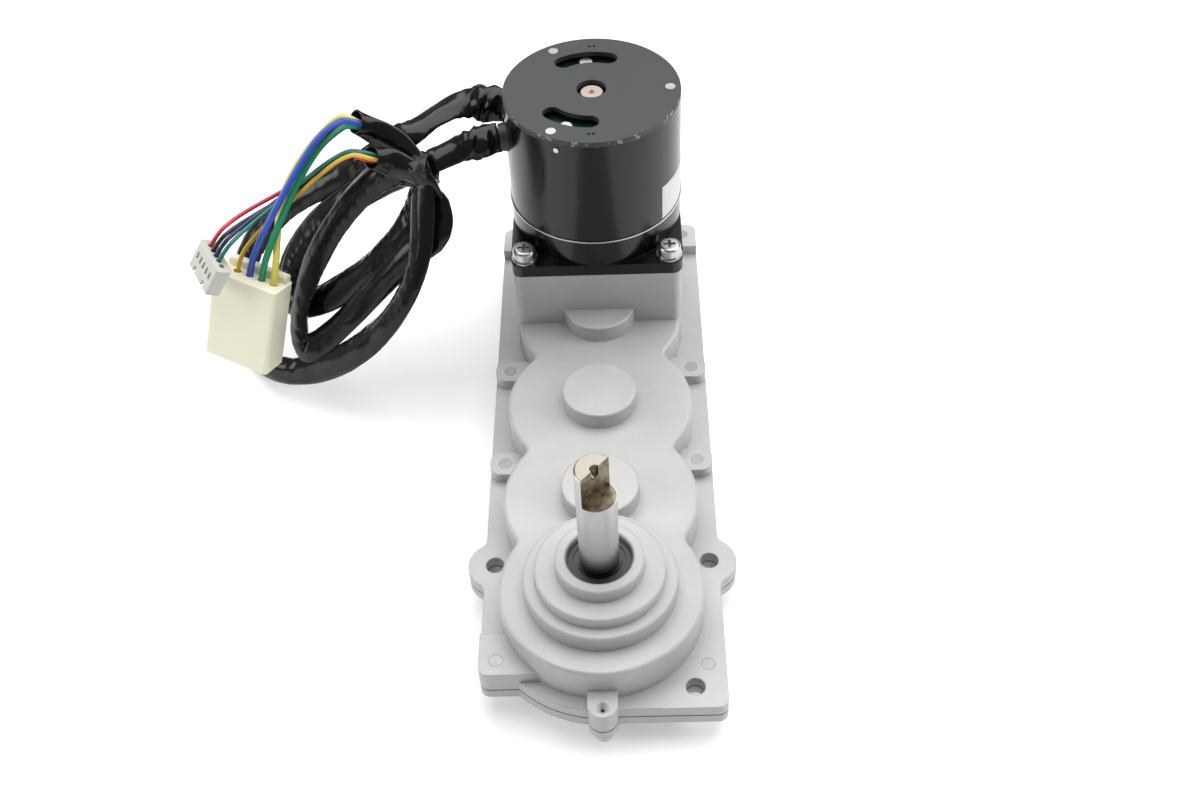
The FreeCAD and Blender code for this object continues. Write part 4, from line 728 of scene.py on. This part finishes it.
class GEARMOTOR_OT_bell_edge(bpy.types.Operator):
    """Makes the bare metal edge of the motor's bell, under the can"""
    bl_idname = "gearmotor.bell_edge"
    bl_label = "Bell edge"

    def execute(self, context):
        edge = start_piece("bell_bare_edge", bpy.ops.mesh.primitive_circle_add, vertices=EDGE_SIDES,
                           radius=CAN_RADIUS + EDGE_GAP, fill_type="NOTHING",
                           location=(0, MOTOR_Y, CAN_BOTTOM - EDGE_DROP))
        bpy.ops.object.mode_set(mode="EDIT")
        bpy.ops.mesh.select_all(action="SELECT")
        bpy.ops.mesh.extrude_region_move(TRANSFORM_OT_translate={"value": (0, 0, EDGE_HEIGHT)})
        bpy.ops.object.mode_set(mode="OBJECT")
        finish_shape(edge, ("SOLIDIFY", {"thickness": EDGE_THICKNESS, "offset": -1}),
                     ("BEVEL", {"width": EDGE_BEVEL, "segments": 2, "limit_method": "ANGLE"}))
        settle(edge, "Bright zinc")
        return {"FINISHED"}


class GEARMOTOR_OT_sleeves(bpy.types.Operator):
    """Makes the two black sleeves with their loops through the tie"""
    bl_idname = "gearmotor.sleeves"
    bl_label = "Cable sleeves"

    def execute(self, context):
        sizes = context.scene.gearmotor_cables
        phase = loop_points(**PHASE_LOOP) + PHASE_TAIL
        hall = loop_points(**HALL_LOOPS[0]) + loop_points(**HALL_LOOPS[1]) + HALL_TAIL
        sleeve("phase_cable_sleeve", [Vector(p) for p in PHASE_LEAD] + [coil_at(*p) for p in phase],
               ["phase_cable_lead", "phase_cable_tail", "cable_bundle"], sizes, 2.7)
        sleeve("hall_cable_sleeve", [Vector(p) for p in HALL_LEAD] + [coil_at(*p) for p in hall],
               ["hall_cable_lead", "hall_cable_tail"], sizes, 8.1)
        return {"FINISHED"}


# The wires' colours: their place in the part's names, their own tone, and their slot
PHASE_COLOURS = (("yellow", "pale yellow", "wire_pale_yellow"), ("blue", "blue", "wire_blue"),
                 ("green", "green", "wire_green"))
HALL_COLOURS = (("yellow", "gold", "wire_gold"), ("red", "red", "wire_red"), ("black", "black", "wire_black"),
                ("blue", "navy", "wire_blue"), ("green", "teal", "wire_green"))


def wire(kind, colour, tone, route, diameter):
    """One wire from its place in a sleeve's mouth to its connector."""
    points = [coil_at(*p) for p in route]
    piece = route_curve(f"{kind}_{colour}_core", points, diameter / 2)
    dress(piece, bpy.data.materials[f"Wire {tone}"])
    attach(piece, BODY)
    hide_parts(f"{kind}_wire_{colour}")
    round(line_length(line_of(points)), 4)


class GEARMOTOR_OT_wires(bpy.types.Operator):
    """Makes the eight wires between the sleeves' mouths and the connectors"""
    bl_idname = "gearmotor.wires"
    bl_label = "Wires"

    def execute(self, context):
        sizes = context.scene.gearmotor_cables
        for colour, tone, slot in PHASE_COLOURS:
            wire("phase", colour, tone, PHASE_WIRES[colour], sizes.phase_wire)
        for colour, tone, slot in HALL_COLOURS:
            wire("hall", colour, tone, HALL_WIRES[colour], sizes.hall_wire)
        return {"FINISHED"}


# Stage

CAMERA_PLACE = Vector((0.010707, -0.260101, 0.391096))
CAMERA_YAW, CAMERA_PITCH, CAMERA_ROLL = -1.817, 46.983, -2.783
SENSOR_WIDTH = 36               # millimetres
NEAREST, FARTHEST = 0.01, 20
FLOOR_SIZE = 6
SURROUND_COLOUR = (0.97, 0.98, 1.0, 1)
LIGHT_TARGET = (0, 0.08, 0.04)
# The soft lights: name, place, width and height, share of the main light's power
SOFT_LIGHTS = (("overhead_softbox", (0.1, 0.55, 1.25), (1.7, 1.4), 1),
               ("right_softbox", (1.1, 0.1, 0.6), (0.7, 0.7), 0.3),
               ("left_softbox", (-1.1, 0.0, 0.6), (0.7, 0.7), 0.26))


def camera_axes():
    """The camera's right, up and back, from its yaw, pitch down and roll."""
    yaw, pitch, roll = (math.radians(a) for a in (CAMERA_YAW, CAMERA_PITCH, CAMERA_ROLL))
    ahead = Vector((math.sin(yaw) * math.cos(pitch), math.cos(yaw) * math.cos(pitch), -math.sin(pitch)))
    level = Vector((math.cos(yaw), -math.sin(yaw), 0))
    above = level.cross(ahead)
    right = level * math.cos(roll) + above * math.sin(roll)
    return right, above * math.cos(roll) - level * math.sin(roll), -ahead


def soft_light(name, place, size, power):
    """A rectangular area light that looks at the part."""
    data = bpy.data.lights.new(name, "AREA")
    data.shape = "RECTANGLE"
    data.size, data.size_y = size
    data.energy = power
    lamp = bpy.data.objects.new(name, data)
    bpy.context.scene.collection.objects.link(lamp)
    lamp.location = place
    lamp.rotation_euler = (Vector(LIGHT_TARGET) - Vector(place)).to_track_quat("-Z", "Y").to_euler()


class GEARMOTOR_OT_stage(bpy.types.Operator):
    """Makes the floor, the soft lights and the camera of the photograph"""
    bl_idname = "gearmotor.stage"
    bl_label = "Stage"

    def execute(self, context):
        settings = context.scene.gearmotor_stage
        bpy.ops.object.select_all(action="DESELECT")
        bpy.ops.mesh.primitive_plane_add(size=FLOOR_SIZE, location=(0, 0, 0))
        floor = context.object
        floor.name = "floor"
        paper = finish("White paper", (0.74, 0.745, 0.75), 0, 0.7, 0.03, 0.01, 3, 400, 0.00001)
        glow = paper.node_tree.nodes["Principled BSDF"].inputs
        glow["Emission Color"].default_value = (1, 1, 1, 1)
        glow["Emission Strength"].default_value = settings.floor_glow
        dress(floor, paper)
        for name, place, size, share in SOFT_LIGHTS:
            soft_light(name, place, size, settings.light * share)
        world = bpy.data.worlds.new("Soft surround")
        world.use_nodes = True
        background = world.node_tree.nodes["Background"].inputs
        background["Color"].default_value = SURROUND_COLOUR
        background["Strength"].default_value = settings.surround
        context.scene.world = world
        context.scene.view_settings.view_transform = "Standard"
        data = bpy.data.cameras.new("photo_camera")
        data.sensor_width = SENSOR_WIDTH
        data.lens = settings.lens
        data.clip_start, data.clip_end = NEAREST, FARTHEST
        camera = bpy.data.objects.new("photo_camera", data)
        context.scene.collection.objects.link(camera)
        camera.matrix_world = placed(CAMERA_PLACE, *camera_axes())
        context.scene.camera = camera
        return {"FINISHED"}


class GEARMOTOR_PT_sidebar(bpy.types.Panel):
    """Lists the steps that build the gear motor"""
    bl_idname = "GEARMOTOR_PT_sidebar"
    bl_label = "Gear motor"
    bl_space_type = "VIEW_3D"
    bl_region_type = "UI"
    bl_category = "Gear motor"

    def draw(self, context):
        for operator in OPERATORS:
            self.layout.operator(operator.bl_idname)
        for group in (context.scene.gearmotor_cables, context.scene.gearmotor_finishes,
                      context.scene.gearmotor_stage):
            for name in group.__annotations__:
                self.layout.prop(group, name)


OPERATORS = (GEARMOTOR_OT_finishes, GEARMOTOR_OT_sleeves, GEARMOTOR_OT_wires, GEARMOTOR_OT_tie,
             GEARMOTOR_OT_label, GEARMOTOR_OT_bell_edge, GEARMOTOR_OT_stage)
GROUPS = {"gearmotor_cables": GearMotorCables, "gearmotor_finishes": GearMotorFinishes,
          "gearmotor_stage": GearMotorStage}


def register():
    for cls in (*GROUPS.values(), *OPERATORS, GEARMOTOR_PT_sidebar):
        bpy.utils.register_class(cls)
    for name, group in GROUPS.items():
        setattr(bpy.types.Scene, name, bpy.props.PointerProperty(type=group))


def unregister():
    for name in GROUPS:
        delattr(bpy.types.Scene, name)
    for cls in (GEARMOTOR_PT_sidebar, *reversed(OPERATORS), *GROUPS.values()):
        bpy.utils.unregister_class(cls)


def main():
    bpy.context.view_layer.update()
    register()
    for operator in OPERATORS:
        step = getattr(bpy.ops.gearmotor, operator.bl_idname.split(".")[1])
        step()


if __name__ == "__main__":
    main()
